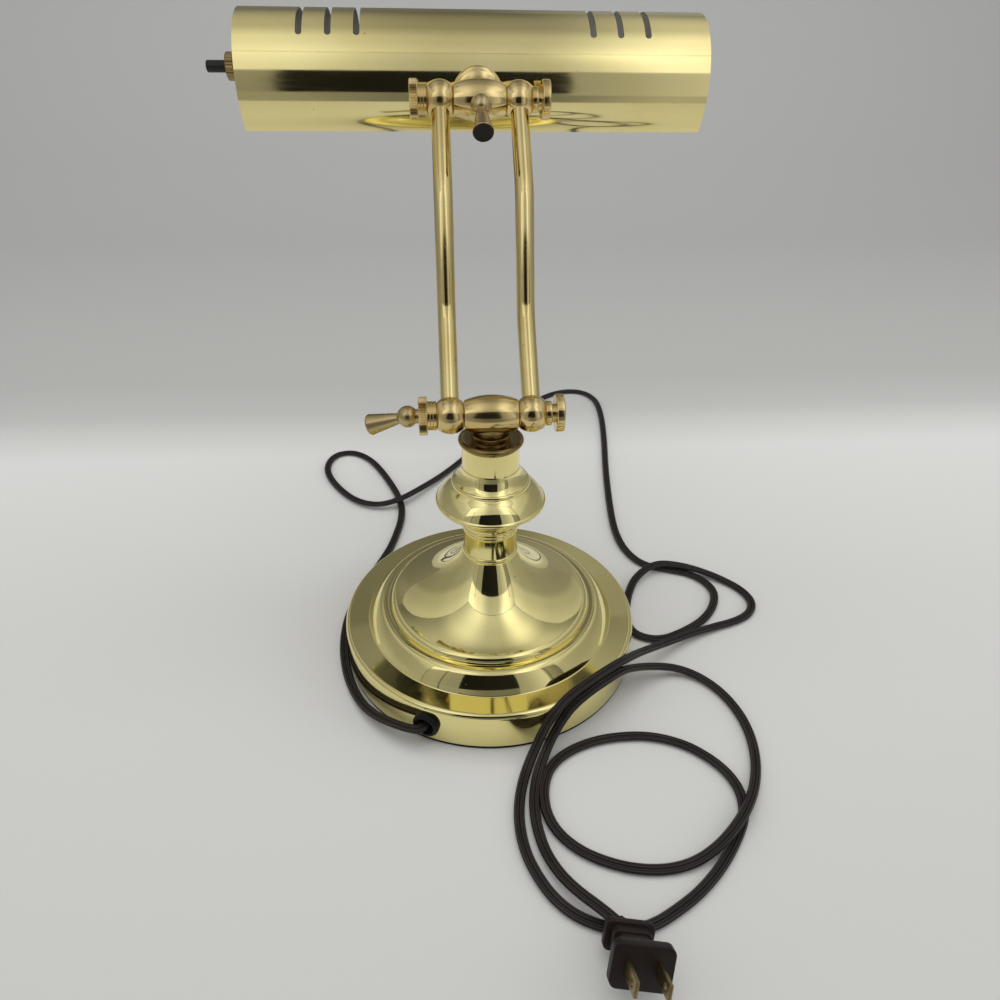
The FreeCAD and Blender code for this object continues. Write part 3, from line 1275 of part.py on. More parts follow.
def make_switch():
    """Push switch through the left cap: body, bush, knurled nut and the sliding plunger."""
    height = SHADE_AXIS + S.switch_rise
    outside = -SHADE_END
    inside = -(SHADE_END - S.shade_wall)
    bore_inside = S.shade_wall + SWITCH_BODY - 3
    body = box("switch_block", (SWITCH_BODY, SWITCH_WIDTH, SWITCH_WIDTH),
               (inside, SHADE_OUT - SWITCH_WIDTH / 2, height - SWITCH_WIDTH / 2))
    bush = cylinder("switch_bush", S.switch_bush, S.switch_bush_length + S.shade_wall,
                    (outside - S.switch_bush_length, SHADE_OUT, height), (0, 1, 0), fixed(90))
    blank = fuse("switch_body", [body, bush])
    bore = cylinder("switch_bore", S.plunger_radius + S.fit_gap, S.switch_bush_length + bore_inside,
                    (outside - S.switch_bush_length, SHADE_OUT, height), (0, 1, 0), fixed(90))
    switch_body = cut("switch_body", blank, [bore])
    washer_length = S.switch_bush_length - 0.5 - S.switch_nut_thick
    nut = ring("switch_nut", S.switch_bush, S.switch_nut, S.switch_nut_thick, fixed(0.5))
    place(nut, (outside - washer_length - S.switch_nut_thick, SHADE_OUT, height))
    rear = ring("switch_washer", S.switch_bush, S.switch_nut - 0.8, washer_length, fixed(0.3))
    place(rear, (outside - washer_length, SHADE_OUT, height))
    inside_length = S.switch_bush_length + bore_inside - S.plunger_travel
    plunger = ring("switch_plunger", ZERO, S.plunger_radius, S.plunger_reach + inside_length, fixed(0.5))
    place(plunger, (outside - S.switch_bush_length - S.plunger_reach, SHADE_OUT, height))
    return [switch_body, nut, rear, plunger]


# ---------------------------------------------------------------------------------------------
# Build, check and write
# ---------------------------------------------------------------------------------------------

pieces = [
    make_base_pad(), make_base_shell(), make_cord_grommet(), make_base_weight(),
    make_column_band(), make_column_vase(), make_column_cap(), make_check_ring(),
    make_lower_hub(), make_upper_hub(),
]
pieces += [make_inner_cord(), tube_along("power_cord", [cord_start()] + CORD_CORNERS, S.cord_radius)]
pieces += make_plug() + make_leads()
pieces += make_pipe_parts() + make_balls() + make_arms()
pieces += make_axle_set("lower", ZERO, S.lower_axis, True)
pieces += make_axle_set("upper", UPPER_OUT, UPPER_AXIS, False)
pieces += make_levers() + make_stem_parts()
pieces += [make_shade_shell()] + make_end_caps() + make_lamp_parts() + make_switch()
doc.recompute()

for obj in doc.Objects:
    if "Invalid" in obj.State or "Error" in obj.State:
        raise ValueError("%s (%s) failed: %s" % (obj.Name, obj.Label, obj.State))

os.makedirs("parts", exist_ok=True)
for piece in pieces:
    shape = piece.Shape
    if shape.isNull() or not shape.isValid() or not shape.Solids:
        raise ValueError("%s has no valid solid" % piece.Label)
    shape.exportStep("parts/%s.step" % piece.Label)
    print("%-20s %8.2f cm3  %d solid(s)" % (piece.Label, shape.Volume / 1000, len(shape.Solids)))
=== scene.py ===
# %% [markdown]
# # A brass piano lamp
#
# A piano lamp stands at the back of an upright piano and throws its light over the music. A heavy
# round base carries a turned column. On the column sits a swivel hub, and a pair of bent tubes
# tilts on it. A second hub at the top carries a long shade, open below, that tilts and swivels.
#
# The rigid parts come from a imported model, and each of them keeps its place and its motion. This
# lesson makes the surfaces that are seen: turned and rolled brass, knurled nuts, a flat cord.

# %% Load the frame and note its box
import json
import math
from contextlib import contextmanager

import bpy
from mathutils import Matrix, Vector


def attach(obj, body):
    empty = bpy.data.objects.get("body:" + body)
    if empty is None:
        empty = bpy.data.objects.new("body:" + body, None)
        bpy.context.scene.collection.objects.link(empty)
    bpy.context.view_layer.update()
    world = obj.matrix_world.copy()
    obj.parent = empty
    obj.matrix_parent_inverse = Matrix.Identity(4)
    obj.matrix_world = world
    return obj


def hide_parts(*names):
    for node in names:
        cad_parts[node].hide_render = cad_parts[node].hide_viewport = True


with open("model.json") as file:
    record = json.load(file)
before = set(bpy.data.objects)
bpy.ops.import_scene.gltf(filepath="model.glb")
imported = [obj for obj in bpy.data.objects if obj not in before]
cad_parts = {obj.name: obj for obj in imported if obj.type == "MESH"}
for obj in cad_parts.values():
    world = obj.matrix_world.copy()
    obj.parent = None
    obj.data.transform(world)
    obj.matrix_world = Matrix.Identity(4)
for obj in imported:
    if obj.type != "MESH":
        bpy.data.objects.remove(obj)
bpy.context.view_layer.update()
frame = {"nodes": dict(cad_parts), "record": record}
MM = 0.001
body_of = {}
for body, members in frame["record"]["behaviour"]["bodies"].items():
    for member in members:
        body_of[member] = body

# %% [markdown]
# ## The camera
#
# The lamp is seen from a little above and from the front, slightly from its left. A camera looks
# along its own -Z with +Y up, so its matrix is made of three directions and a place. The focal
# length is that of a phone held half a metre away: 27.5 mm on a 36 mm wide sensor.

# %% Place the camera
side_turn = math.radians(-5.0)
down_tilt = math.radians(33.13)
roll = math.radians(0.9)
level_right = Vector((math.cos(side_turn), math.sin(side_turn), 0))
ahead = Vector((
    -math.sin(side_turn) * math.cos(down_tilt),
    math.cos(side_turn) * math.cos(down_tilt),
    -math.sin(down_tilt),
))
upright = level_right.cross(ahead)
camera_x = level_right * math.cos(roll) + upright * math.sin(roll)
camera_y = upright * math.cos(roll) - level_right * math.sin(roll)
camera_place = Vector((-24.9, -343.35, 324.1)) * MM
bpy.ops.object.camera_add(location=camera_place)
camera = bpy.context.object
camera.name = "camera"
directions = Matrix((camera_x, camera_y, -ahead)).transposed().to_4x4()
camera.matrix_world = Matrix.Translation(camera_place) @ directions
camera.data.sensor_width = 36
camera.data.lens = 27.48
camera.data.clip_start = 0.02
camera.data.clip_end = 20
bpy.context.scene.camera = camera
print("camera at", tuple(camera.location))

# %% [markdown]
# ## The route of the cord
#
# The cord is one length of flat twin flex. It leaves the base through a bushing, turns back round
# the base, crosses itself behind the lamp, and comes forward again in two loops to its plug. Two
# of its strands climb over the rim of the base, one on top of the other.
#
# A cord could be drawn as an arc at each bend, but that looks like bent wire. A NURBS spline takes
# a few points that stand near the cord and draws one smooth line past all of them, which is how a
# soft cord lies. Its order and its end setting come after its points, or it stays a chain of
# straight runs.

# %% The points beside the cord in millimetres, from the bushing to the plug
CORD_PLACES = (
    (-36, -72.1, 12.5), (-39.7, -79.6, 12.4), (-47.5, -76.4, 11), (-55.5, -70.9, 9.1),
    (-64.1, -63.5, 6.4), (-72.5, -53, 3.9), (-79.9, -37.5, 2.4), (-85, -20, 2), (-87.6, 0, 2),
    (-86.9, 21, 2), (-81.9, 42, 2), (-74.2, 63.1, 2), (-67, 81, 2), (-61.7, 97.7, 2),
    (-56.2, 128.2, 2), (-58, 152.9, 2), (-70.7, 188.4, 2), (-85.3, 217.8, 2), (-101.4, 230.8, 2),
    (-116.4, 225.4, 2), (-120.8, 203, 2), (-110.5, 177.1, 2), (-93, 152.8, 2.5),
    (-74.3, 142.4, 4.4), (-57.8, 147.1, 6.4), (-43.2, 163.6, 5), (-25.5, 186.9, 2.4),
    (-6, 215.1, 2), (14.4, 248.8, 2), (40, 288.1, 2), (64.9, 320, 2), (89.4, 340.3, 2),
    (112.8, 341.6, 2), (125, 322.6, 2), (124.1, 287.6, 2), (117.7, 241.2, 2), (109.3, 193.1, 2),
    (102.3, 143.4, 2), (98.1, 103.5, 2), (100.4, 78.6, 2), (109.1, 61.6, 2), (125.3, 55.8, 2),
    (141.3, 49.4, 2), (150.2, 34.9, 2), (147.1, 20, 2), (135.6, 4.8, 2), (119.6, -5.4, 2),
    (103.5, -11.9, 2), (91.2, -8.3, 2), (85.7, 0.3, 2), (87.3, 15.8, 2.9), (92.9, 31.9, 4),
    (100.6, 45.3, 5.5), (116.3, 57.2, 6.9), (133.3, 55.4, 5.7), (149.1, 48.9, 3.7), (162, 39.8, 2),
    (169.3, 29.3, 2), (171.2, 18.1, 2), (165.5, 8.1, 2), (154.8, 1.8, 2), (137.9, -3.4, 2.7),
    (122.7, -9.9, 4.7), (110.3, -16.8, 7), (96.7, -25.2, 10.5), (83.5, -35.4, 16.3),
    (71.4, -47.5, 23.7), (60.7, -56.9, 27.1), (48.2, -67.4, 29.5), (38.8, -73.9, 29.2),
    (31.4, -78.9, 26.2), (25.9, -82.5, 20.6), (21.7, -85.1, 13.6), (17.1, -89.9, 6.1),
    (12.4, -97.7, 2.1), (8, -109.9, 2), (5.6, -122.7, 2), (5.5, -134.5, 2), (7.4, -145.7, 2),
    (11.5, -156.1, 2), (16.5, -164.8, 2), (24, -172.6, 2), (34.1, -178, 2), (45.5, -180.9, 2),
    (56.5, -179.6, 2), (67.7, -174.3, 2), (80.4, -167, 2), (93.3, -156.4, 2), (104.4, -144, 2),
    (112.9, -131.7, 2), (115.4, -119, 2), (112.7, -107.7, 2), (105.5, -97.4, 2), (94.9, -88.3, 2),
    (79, -82.2, 2), (61.8, -81.6, 2), (46.6, -84.1, 2), (32.3, -90.4, 2), (22.6, -99.6, 2),
    (18.5, -112.6, 2), (18.9, -125.1, 2), (23.2, -135.4, 2), (31.3, -144, 2), (42.1, -150.3, 2),
    (54.4, -154.5, 2), (67.7, -156, 2), (80.8, -154.3, 2.6), (93, -148.9, 4.4), (103.7, -141, 6.1),
    (113.6, -130.8, 6.4), (122.8, -117.1, 3.7), (129.5, -101.4, 2), (132.4, -85.5, 2),
    (131.5, -69.4, 2), (126, -53.6, 2), (116.8, -42.3, 2.4), (104.9, -37.4, 4.6),
    (92.7, -39.2, 8.3), (80.1, -45.4, 14.9), (67.9, -54.6, 22.6), (56.4, -65.4, 26.5),
    (46.5, -72.4, 26.6), (37.3, -78.1, 23.3), (31.4, -82.2, 17.8), (27, -85.9, 11.9),
    (22.6, -91.2, 6.3), (18.5, -99.1, 2.8), (15.2, -108.2, 2), (13.3, -119.8, 2), (13.4, -131.2, 2),
    (15.7, -143.6, 2), (20.4, -155.1, 3.7), (26.5, -164.6, 5.8), (36.6, -174.6, 6.8),
    (41.6, -181.2, 8),
)
cord_route = [tuple(value * MM for value in place) for place in CORD_PLACES]


def line_of_spline(name, corners, steps_per_point):
    """The points of one smooth NURBS line beside the corners."""
    curve = bpy.data.curves.new(name, "CURVE")
    curve.dimensions = "3D"
    curve.resolution_u = steps_per_point
    spline = curve.splines.new("NURBS")
    spline.points.add(len(corners) - 1)
    for point, corner in zip(spline.points, corners):
        point.co = (*corner, 1)
    spline.order_u = 3
    spline.use_endpoint_u = True
    guide = bpy.data.objects.new(name, curve)
    bpy.context.scene.collection.objects.link(guide)
    bpy.context.view_layer.update()
    mesh = bpy.data.meshes.new_from_object(guide)
    line = [vertex.co.copy() for vertex in mesh.vertices]
    bpy.data.objects.remove(guide)
    bpy.data.meshes.remove(mesh)
    return line


cord_line = line_of_spline("cord_guide", cord_route, 10)

# %% [markdown]
# ## The flat cord
#
# The flex is two insulated wires side by side, moulded as one: two round lobes with a groove
# between them on both faces. Its section is drawn once and carried along the line, always lying
# on its wide side. A bevelled curve could do that as well, but a mesh made here gets its own UV
# map, with the length of the cord in V, and the fine ribs of the insulation follow that.

# %% Draw the section of the flex
CORD_WIDTH = 5.2 * MM
CORD_THICK = 2.6 * MM
LOBE_POINTS = 11


def flex_section():
    """Two lobes with a groove between them, as (across, up) points going round once."""
    radius = CORD_THICK / 2
    lobe = CORD_WIDTH / 2 - radius
    groove_angle = math.radians(38)
    points = []
    for side in (1, -1):
        start = groove_angle - math.pi if side > 0 else groove_angle
        span = 2 * (math.pi - groove_angle)
        for index in range(LOBE_POINTS):
            angle = start + span * index / (LOBE_POINTS - 1)
            points.append((side * lobe + radius * math.cos(angle), radius * math.sin(angle)))
    return points


# %% Carry the section along the line
def carried_mesh(name, line, section):
    """The section along a line, lying on its wide side, with a UV map: once round, and metres."""
    last = len(line) - 1
    count = len(section)
    vertices = []
    lengths = [0.0]
    for before, after in zip(line, line[1:]):
        lengths.append(lengths[-1] + (after - before).length)
    for index, place in enumerate(line):
        along = (line[min(index + 1, last)] - line[max(index - 1, 0)]).normalized()
        across = along.cross(Vector((0, 0, 1))).normalized()
        over = across.cross(along)
        vertices += [place + across * x + over * y for x, y in section]
    faces = []
    corners = []
    for ring in range(last):
        low, high = ring * count, (ring + 1) * count
        for index in range(count):
            following = (index + 1) % count
            faces.append((low + index, low + following, high + following, high + index))
            u, next_u = index / count, (index + 1) / count
            near, far = lengths[ring], lengths[ring + 1]
            corners += [(u, near), (next_u, near), (next_u, far), (u, far)]
    faces += [tuple(reversed(range(count))), tuple(range(last * count, last * count + count))]
    corners += [(0, 0)] * count + [(0, lengths[-1])] * count
    mesh = bpy.data.meshes.new(name)
    mesh.from_pydata(vertices, [], faces)
    layer = mesh.uv_layers.new(name="along")
    for loop_uv, corner in zip(layer.data, corners):
        loop_uv.uv = corner
    return mesh


flat_cord = bpy.data.objects.new("flat_cord", carried_mesh("flat_cord", cord_line, flex_section()))
bpy.context.scene.collection.objects.link(flat_cord)
print("cord faces", len(flat_cord.data.polygons))

# %% [markdown]
# ## Turning, as on a lathe
#
# Base, column, hubs, balls and rings are all turned, so they are made here the same way: a single
# point is extruded along the outline of the piece, and the outline is spun once round its axis.
# An outline is a list of places and arcs in millimetres; a plain place is reached by a straight
# run. Real edges are never razor sharp, and the little rounding that catches the light is put into
# the outline itself.

# %% Helpers for outlines
def arc(x, y, radius, side):
    """An arc to the point, with its centre to the left (+1) or right (-1) of the way there."""
    return (x, y, radius, side)


def arc_points(start, end, radius, side, step=math.radians(4)):
    """Points of an arc after its start, its end included."""
    chord = end - start
    rise = math.sqrt(max(radius * radius - chord.length_squared / 4, 0))
    left = Vector((-chord.y, chord.x)).normalized()
    centre = (start + end) / 2 + left * rise * side
    first = math.atan2(start.y - centre.y, start.x - centre.x)
    last = math.atan2(end.y - centre.y, end.x - centre.x)
    turn = (last - first) % (2 * math.pi) if side > 0 else -((first - last) % (2 * math.pi))
    count = max(2, round(abs(turn) / step))
    angles = [first + turn * index / count for index in range(1, count + 1)]
    return [centre + Vector((math.cos(angle), math.sin(angle))) * radius for angle in angles]


SHARP = math.radians(20)
EASE_SHARE = 0.45


def eased(points, ease, closed):
    """The points with every sharp corner rounded off, over at most a share of its two sides."""
    result = []
    last = len(points) - 1
    for index, point in enumerate(points):
        if not closed and index in (0, last):
            result.append(point)
            continue
        way_in = point - points[index - 1]
        way_out = points[(index + 1) % len(points)] - point
        if way_in.length == 0 or way_out.length == 0 or way_in.angle(way_out) < SHARP:
            result.append(point)
            continue
        trim = min(ease, way_in.length * EASE_SHARE, way_out.length * EASE_SHARE)
        start = point - way_in.normalized() * trim
        end = point + way_out.normalized() * trim
        for share in (0, 0.25, 0.5, 0.75, 1):
            result.append(start * (1 - share) ** 2 + point * 2 * share * (1 - share) + end * share ** 2)
    return result


def outline(steps, ease=0.25, closed=True):
    """All the points of an outline, arcs divided and corners eased."""
    points = []
    for x, y, *bend in steps:
        place = Vector((x, y))
        points += arc_points(points[-1], place, *bend) if bend else [place]
    return eased(points, ease, closed)


# %% Helpers that select and edit a piece
def alone(piece):
    """Selects one object and nothing else."""
    bpy.ops.object.select_all(action="DESELECT")
    piece.select_set(True)
    bpy.context.view_layer.objects.active = piece


@contextmanager
def editing(piece, choice="SELECT"):
    """Edit mode on one piece, with all of it selected, or what was chosen before."""
    alone(piece)
    bpy.ops.object.mode_set(mode="EDIT")
    if choice:
        bpy.ops.mesh.select_all(action=choice)
    yield
    bpy.ops.object.mode_set(mode="OBJECT")


def select_faces(piece, wanted):
    """Selects the faces for which the test is true, ready for edit mode."""
    with editing(piece, "DESELECT"):
        bpy.ops.mesh.select_mode(type="FACE")
    for face in piece.data.polygons:
        face.select = wanted(face)


# %% Helpers that trace and turn a piece
def trace(name, places, closed=True):
    """A new piece: one point, extruded along the places given in millimetres."""
    bpy.ops.object.select_all(action="DESELECT")
    places = [Vector(place) * MM for place in places]
    if closed:
        places.append(places[0])
    bpy.ops.mesh.primitive_plane_add(size=MM)
    piece = bpy.context.object
    piece.name = name
    piece.data.name = name
    with editing(piece):
        bpy.ops.mesh.select_mode(type="VERT")
        bpy.ops.mesh.merge(type="CENTER")
        bpy.ops.transform.translate(value=places[0])
        for before, place in zip(places, places[1:]):
            bpy.ops.mesh.extrude_region_move(TRANSFORM_OT_translate={"value": place - before})
        bpy.ops.mesh.select_all(action="SELECT")
        bpy.ops.mesh.remove_doubles(threshold=0.0005 * MM)
    return piece


def close_up(piece):
    """Merges the doubles of a piece and turns its faces outwards."""
    with editing(piece):
        bpy.ops.mesh.remove_doubles(threshold=0.001 * MM)
        bpy.ops.mesh.normals_make_consistent(inside=False)
    return piece


def turned(name, steps, centre=(0, 0, 0), axis="Z", ease=0.25, segments=96, closed=True):
    """A turned piece. About Z the steps are (radius, height), about X they are (along, radius)."""
    centre = Vector(centre)
    places = [centre + Vector((point.x, 0, point.y)) for point in outline(steps, ease, closed)]
    piece = trace(name, places, closed)
    direction = (0, 0, 1) if axis == "Z" else (1, 0, 0)
    with editing(piece):
        bpy.ops.mesh.spin(steps=segments, angle=2 * math.pi, center=centre * MM, axis=direction)
    return close_up(piece)


# %% Helpers that place, join and cut
def turn_piece(piece, degrees, about, centre):
    """Turns a whole piece about an axis through a centre given in millimetres."""
    matrix = Matrix.Rotation(math.radians(degrees), 4, about)
    centre = Vector(centre) * MM
    piece.data.transform(Matrix.Translation(centre) @ matrix @ Matrix.Translation(-centre))
    return piece


def lay_along(piece, way, place):
    """Turns a piece that was made along +X from the origin into a direction, at a place in mm."""
    turn = Vector(way).to_track_quat("X", "Z").to_matrix().to_4x4()
    piece.data.transform(Matrix.Translation(Vector(place) * MM) @ turn)
    return piece


def combined(piece, tool, operation):
    """Works a tool into a piece with an exact boolean, and uses the tool up."""
    alone(piece)
    modifier = piece.modifiers.new("combine", "BOOLEAN")
    modifier.operation = operation
    modifier.solver = "EXACT"
    modifier.object = tool
    bpy.ops.object.modifier_apply(modifier=modifier.name)
    bpy.data.objects.remove(tool)
    return piece


def joined(first, second):
    """One closed skin around two pieces that cut into each other."""
    return combined(first, second, "UNION")


def carve(piece, tool):
    """Cuts a tool out of a piece."""
    return combined(piece, tool, "DIFFERENCE")


def rod(name, radius, start, end, sides=48):
    """A plain round rod between two places in millimetres, as a tool or a blank."""
    bpy.ops.object.select_all(action="DESELECT")
    way = Vector(end) - Vector(start)
    bpy.ops.mesh.primitive_cylinder_add(vertices=sides, radius=radius * MM, depth=way.length * MM)
    piece = bpy.context.object
    piece.name = name
    turn = way.to_track_quat("Z", "Y").to_matrix().to_4x4()
    piece.data.transform(Matrix.Translation((Vector(start) + Vector(end)) / 2 * MM) @ turn)
    return piece


# %% A helper for knurled rims
RIM_DEPTH = 0.35


def knurled(name, steps, centre, axis, outer, depth, teeth):
    """A turned piece with straight teeth pressed into its rim, two points round it for each tooth."""
    piece = turned(name, steps, centre, axis, 0.05, teeth * 2)
    direction = Vector((0, 0, 1)) if axis == "Z" else Vector((1, 0, 0))
    centre = Vector(centre) * MM
    for vertex in piece.data.vertices:
        offset = vertex.co - centre
        along = direction * offset.dot(direction)
        radial = offset - along
        if radial.length < (outer - RIM_DEPTH) * MM:
            continue
        angle = math.atan2(radial.y, radial.x) if axis == "Z" else math.atan2(radial.z, radial.y)
        if round(angle / math.pi * teeth) % 2:
            vertex.co = centre + along + radial * (1 - depth / outer)
    return piece


# %% Helpers that finish a piece
def finished(piece, node, material, smooth=35):
    """Gives a piece its surface, its body and the node that it stands for."""
    piece.name = node + "_skin"
    piece.data.name = piece.name
    alone(piece)
    bpy.ops.object.shade_smooth_by_angle(angle=math.radians(smooth))
    piece.data.materials.clear()
    piece.data.materials.append(material)
    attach(piece, body_of[node])
    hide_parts(node)
    return piece


def paint_faces(piece, material, wanted):
    """Gives a second material to the faces for which the test is true."""
    piece.data.materials.append(material)
    for face in piece.data.polygons:
        if wanted(face):
            face.material_index = len(piece.data.materials) - 1


# %% [markdown]
# ## Helpers for materials
#
# Every finish is a node tree. A few small helpers keep the trees readable: one adds a node with its
# values and its wires, others take one usual step, such as a sum, a blend or a ramp, and the last
# two start a material and put a shared finish before its shader. Patterns read Object coordinates
# in metres, so their scales are counts per metre.

# %% Helpers for node trees
def feed(tree, target, value):
    """Sets an input to a plain value, or wires another node's output to it."""
    if isinstance(value, bpy.types.NodeSocket):
        tree.links.new(value, target)
    else:
        target.default_value = value


def add_node(tree, kind, **values):
    """A new node; keyword values feed its inputs by name, or set its own settings."""
    node = tree.nodes.new("ShaderNode" + kind)
    for name, value in values.items():
        label = name.replace("_", " ")
        if label in node.inputs:
            feed(tree, node.inputs[label], value)
        else:
            setattr(node, name, value)
    return node


def calculate(tree, operation, *values, kind="Math"):
    """The result of one operation on values or sockets."""
    node = add_node(tree, kind, operation=operation)
    for target, value in zip(node.inputs, values):
        feed(tree, target, value)
    return node.outputs[0]


def spread(tree, value, low, high, **ends):
    """A value between low and high, spread out to 0 and 1 or to other ends."""
    return add_node(tree, "MapRange", Value=value, From_Min=low, From_Max=high, **ends).outputs["Result"]


def blend(tree, share, first, second):
    """A colour on the way from the first to the second."""
    node = add_node(tree, "Mix", data_type="RGBA", Factor=share)
    feed(tree, node.inputs[6], first)
    feed(tree, node.inputs[7], second)
    return node.outputs[2]


def coordinates(tree, kind="Object"):
    """A place on the piece as three sockets, X, Y and Z."""
    place = add_node(tree, "TexCoord")
    return add_node(tree, "SeparateXYZ", Vector=place.outputs[kind]).outputs


def colour_ramp(tree, value, stops):
    """A ramp that passes through stops of (position, colour)."""
    ramp = add_node(tree, "ValToRGB", Fac=value)
    while len(ramp.color_ramp.elements) < len(stops):
        ramp.color_ramp.elements.new(0.5)
    for element, (position, colour) in zip(ramp.color_ramp.elements, stops):
        element.position = position
        element.color = (*colour, 1)
    return ramp


# %% Helpers for groups and surfaces
def new_group(name, **inputs):
    """An empty group with named inputs and their usual values, and the three outputs of a finish."""
    group = bpy.data.node_groups.new(name, "ShaderNodeTree")
    kinds = {1: "NodeSocketFloat", 3: "NodeSocketVector", 4: "NodeSocketColor"}
    for label, value in inputs.items():
        kind = kinds[1 if isinstance(value, float) else len(value)]
        socket = group.interface.new_socket(label.replace("_", " "), in_out="INPUT", socket_type=kind)
        socket.default_value = value
    for label, kind in (("Colour", kinds[4]), ("Roughness", kinds[1]), ("Height", kinds[1])):
        group.interface.new_socket(label, in_out="OUTPUT", socket_type=kind)
    return group, group.nodes.new("NodeGroupInput").outputs, group.nodes.new("NodeGroupOutput").inputs


def new_surface(name, roughness, metallic=0.0, **values):
    """A material with its shader's plain values set on the shader itself."""
    material = bpy.data.materials.new(name)
    material.use_nodes = True
    shader = material.node_tree.nodes["Principled BSDF"]
    shader.inputs["Roughness"].default_value = roughness
    shader.inputs["Metallic"].default_value = metallic
    for label, value in values.items():
        shader.inputs[label.replace("_", " ")].default_value = value
    return material, material.node_tree, shader


def dress_shader(tree, shader, group, relief, depth, values):
    """Puts a finish group before a shader: its colour, its roughness and its height as relief."""
    finish = add_node(tree, "Group", node_tree=group)
    for label, value in values.items():
        finish.inputs[label].default_value = value
    place = add_node(tree, "TexCoord")
    feed(tree, finish.inputs["Place"], place.outputs["Object"])
    bump = add_node(tree, "Bump", Strength=relief, Distance=depth, Height=finish.outputs["Height"])
    feed(tree, shader.inputs["Base Color"], finish.outputs["Colour"])
    feed(tree, shader.inputs["Roughness"], finish.outputs["Roughness"])
    feed(tree, shader.inputs["Normal"], bump.outputs["Normal"])


# %% [markdown]
# ## The metal finish, as one group
#
# Lacquered brass is never one flat colour. It has faint clouds where the lacquer is thicker, small
# dark pin specks where it has broken, and the fine lines of polishing, which on a turned piece run
# round the axis. All the metals share one group for this, each with its own colours and amounts.
# It puts out a colour, a roughness and a height.

# %% Build the metal finish group
metal_finish, given, result = new_group(
    "metal_finish", Place=(0, 0, 0), Bright=(1, 1, 1, 1), Deep=(0.5, 0.5, 0.5, 1),
    Speck_Colour=(0.1, 0.06, 0.03, 1), Speck_Amount=0.3, Smooth=0.1, Rough=0.2,
    Line_Scale=(300, 300, 3000), Line_Height=0.001, Wave_Scale=(30, 30, 30), Wave_Height=0.0,
)
clouds = add_node(metal_finish, "TexNoise", Vector=given["Place"], Scale=26.0, Detail=3.0,
                  Roughness=0.55).outputs["Fac"]
cloudy = blend(metal_finish, spread(metal_finish, clouds, 0.35, 0.68), given["Bright"], given["Deep"])

speck_cells = add_node(metal_finish, "TexVoronoi", Vector=given["Place"], Scale=170.0, Randomness=1.0)
speck_dots = spread(metal_finish, speck_cells.outputs["Distance"], 0.08, 0.03)
cell_colour = add_node(metal_finish, "SeparateColor", Color=speck_cells.outputs["Color"])
chosen = calculate(metal_finish, "LESS_THAN", cell_colour.outputs["Red"], given["Speck Amount"])
specks = calculate(metal_finish, "MULTIPLY", speck_dots, chosen)
feed(metal_finish, result["Colour"], blend(metal_finish, specks, cloudy, given["Speck Colour"]))

stretched = calculate(metal_finish, "MULTIPLY", given["Place"], given["Line Scale"], kind="VectorMath")
lines = add_node(metal_finish, "TexNoise", Vector=stretched, Scale=1.0, Detail=2.0).outputs["Fac"]
uneven = calculate(metal_finish, "MULTIPLY", lines, clouds)
polish = spread(metal_finish, uneven, 0.12, 0.42, To_Min=given["Smooth"], To_Max=given["Rough"])
SPECK_DULLNESS = 0.3
dulled = calculate(metal_finish, "MULTIPLY_ADD", specks, SPECK_DULLNESS, polish)
feed(metal_finish, result["Roughness"], dulled)

# %% Give the metal finish its height
line_height = calculate(metal_finish, "MULTIPLY", lines, given["Line Height"])
wave_place = calculate(metal_finish, "MULTIPLY", given["Place"], given["Wave Scale"], kind="VectorMath")
waves = add_node(metal_finish, "TexNoise", Vector=wave_place, Scale=1.0, Detail=1.0).outputs["Fac"]
wavy = calculate(metal_finish, "MULTIPLY_ADD", waves, given["Wave Height"], line_height)
SPECK_HEIGHT = -0.02
pitted = calculate(metal_finish, "MULTIPLY_ADD", specks, SPECK_HEIGHT, wavy)
feed(metal_finish, result["Height"], pitted)


def metal(name, bright, deep, smooth, rough, lines, line_height, specks, waves=(30, 30, 30),
          wave_height=0.0):
    """A metal with the shared finish. Heights are in millimetres, scales in counts per metre."""
    material, tree, shader = new_surface(name, rough, 1.0)
    dress_shader(tree, shader, metal_finish, 1.0, MM, {
        "Bright": (*bright, 1), "Deep": (*deep, 1), "Smooth": smooth, "Rough": rough,
        "Line Scale": lines, "Line Height": line_height, "Speck Amount": specks,
        "Wave Scale": waves, "Wave Height": wave_height,
    })
    return material


# %% Mix the metals
LINES_ROUND_Z = (250, 250, 4000)
LINES_ROUND_X = (4000, 250, 250)
LINES_ALONG_X = (60, 1500, 1500)
LINES_ALONG_Z = (1500, 1500, 60)
polished_brass = metal("spun_lacquered_brass", (0.94, 0.845, 0.395), (0.91, 0.795, 0.34), 0.04, 0.09,
                       LINES_ROUND_Z, 0.0001, 0.15, (24, 24, 24), 0.01)
shade_brass = metal("rolled_lacquered_brass", (0.92, 0.805, 0.395), (0.88, 0.755, 0.34), 0.06, 0.12,
                    LINES_ALONG_X, 0.0003, 0.15, (7, 45, 45), 0.035)
satin_brass = metal("machined_satin_brass", (0.82, 0.65, 0.31), (0.68, 0.51, 0.21), 0.11, 0.21,
                    LINES_ROUND_X, 0.0003, 0.2)
lever_brass = metal("dulled_lever_brass", (0.63, 0.50, 0.25), (0.50, 0.38, 0.18), 0.22, 0.34,
                    (900, 900, 900), 0.0003, 0.25)
tube_brass = metal("drawn_tube_brass", (0.82, 0.68, 0.32), (0.72, 0.57, 0.24), 0.07, 0.16,
                   LINES_ALONG_Z, 0.0003, 0.2)
# Aged brass for the cap, the knurled ring and the switch; on the foot of the lower hub it is painted
# shade.
aged_brass_and_painted_shade = metal("aged_dark_brass_and_painted_shade", (0.38, 0.28, 0.12), (0.24, 0.17, 0.07), 0.13, 0.26,
                   LINES_ROUND_Z, 0.001, 0.5)
blade_brass = metal("dull_blade_brass", (0.50, 0.40, 0.20), (0.34, 0.26, 0.13), 0.26, 0.42,
                    (1500, 400, 400), 0.001, 0.5)
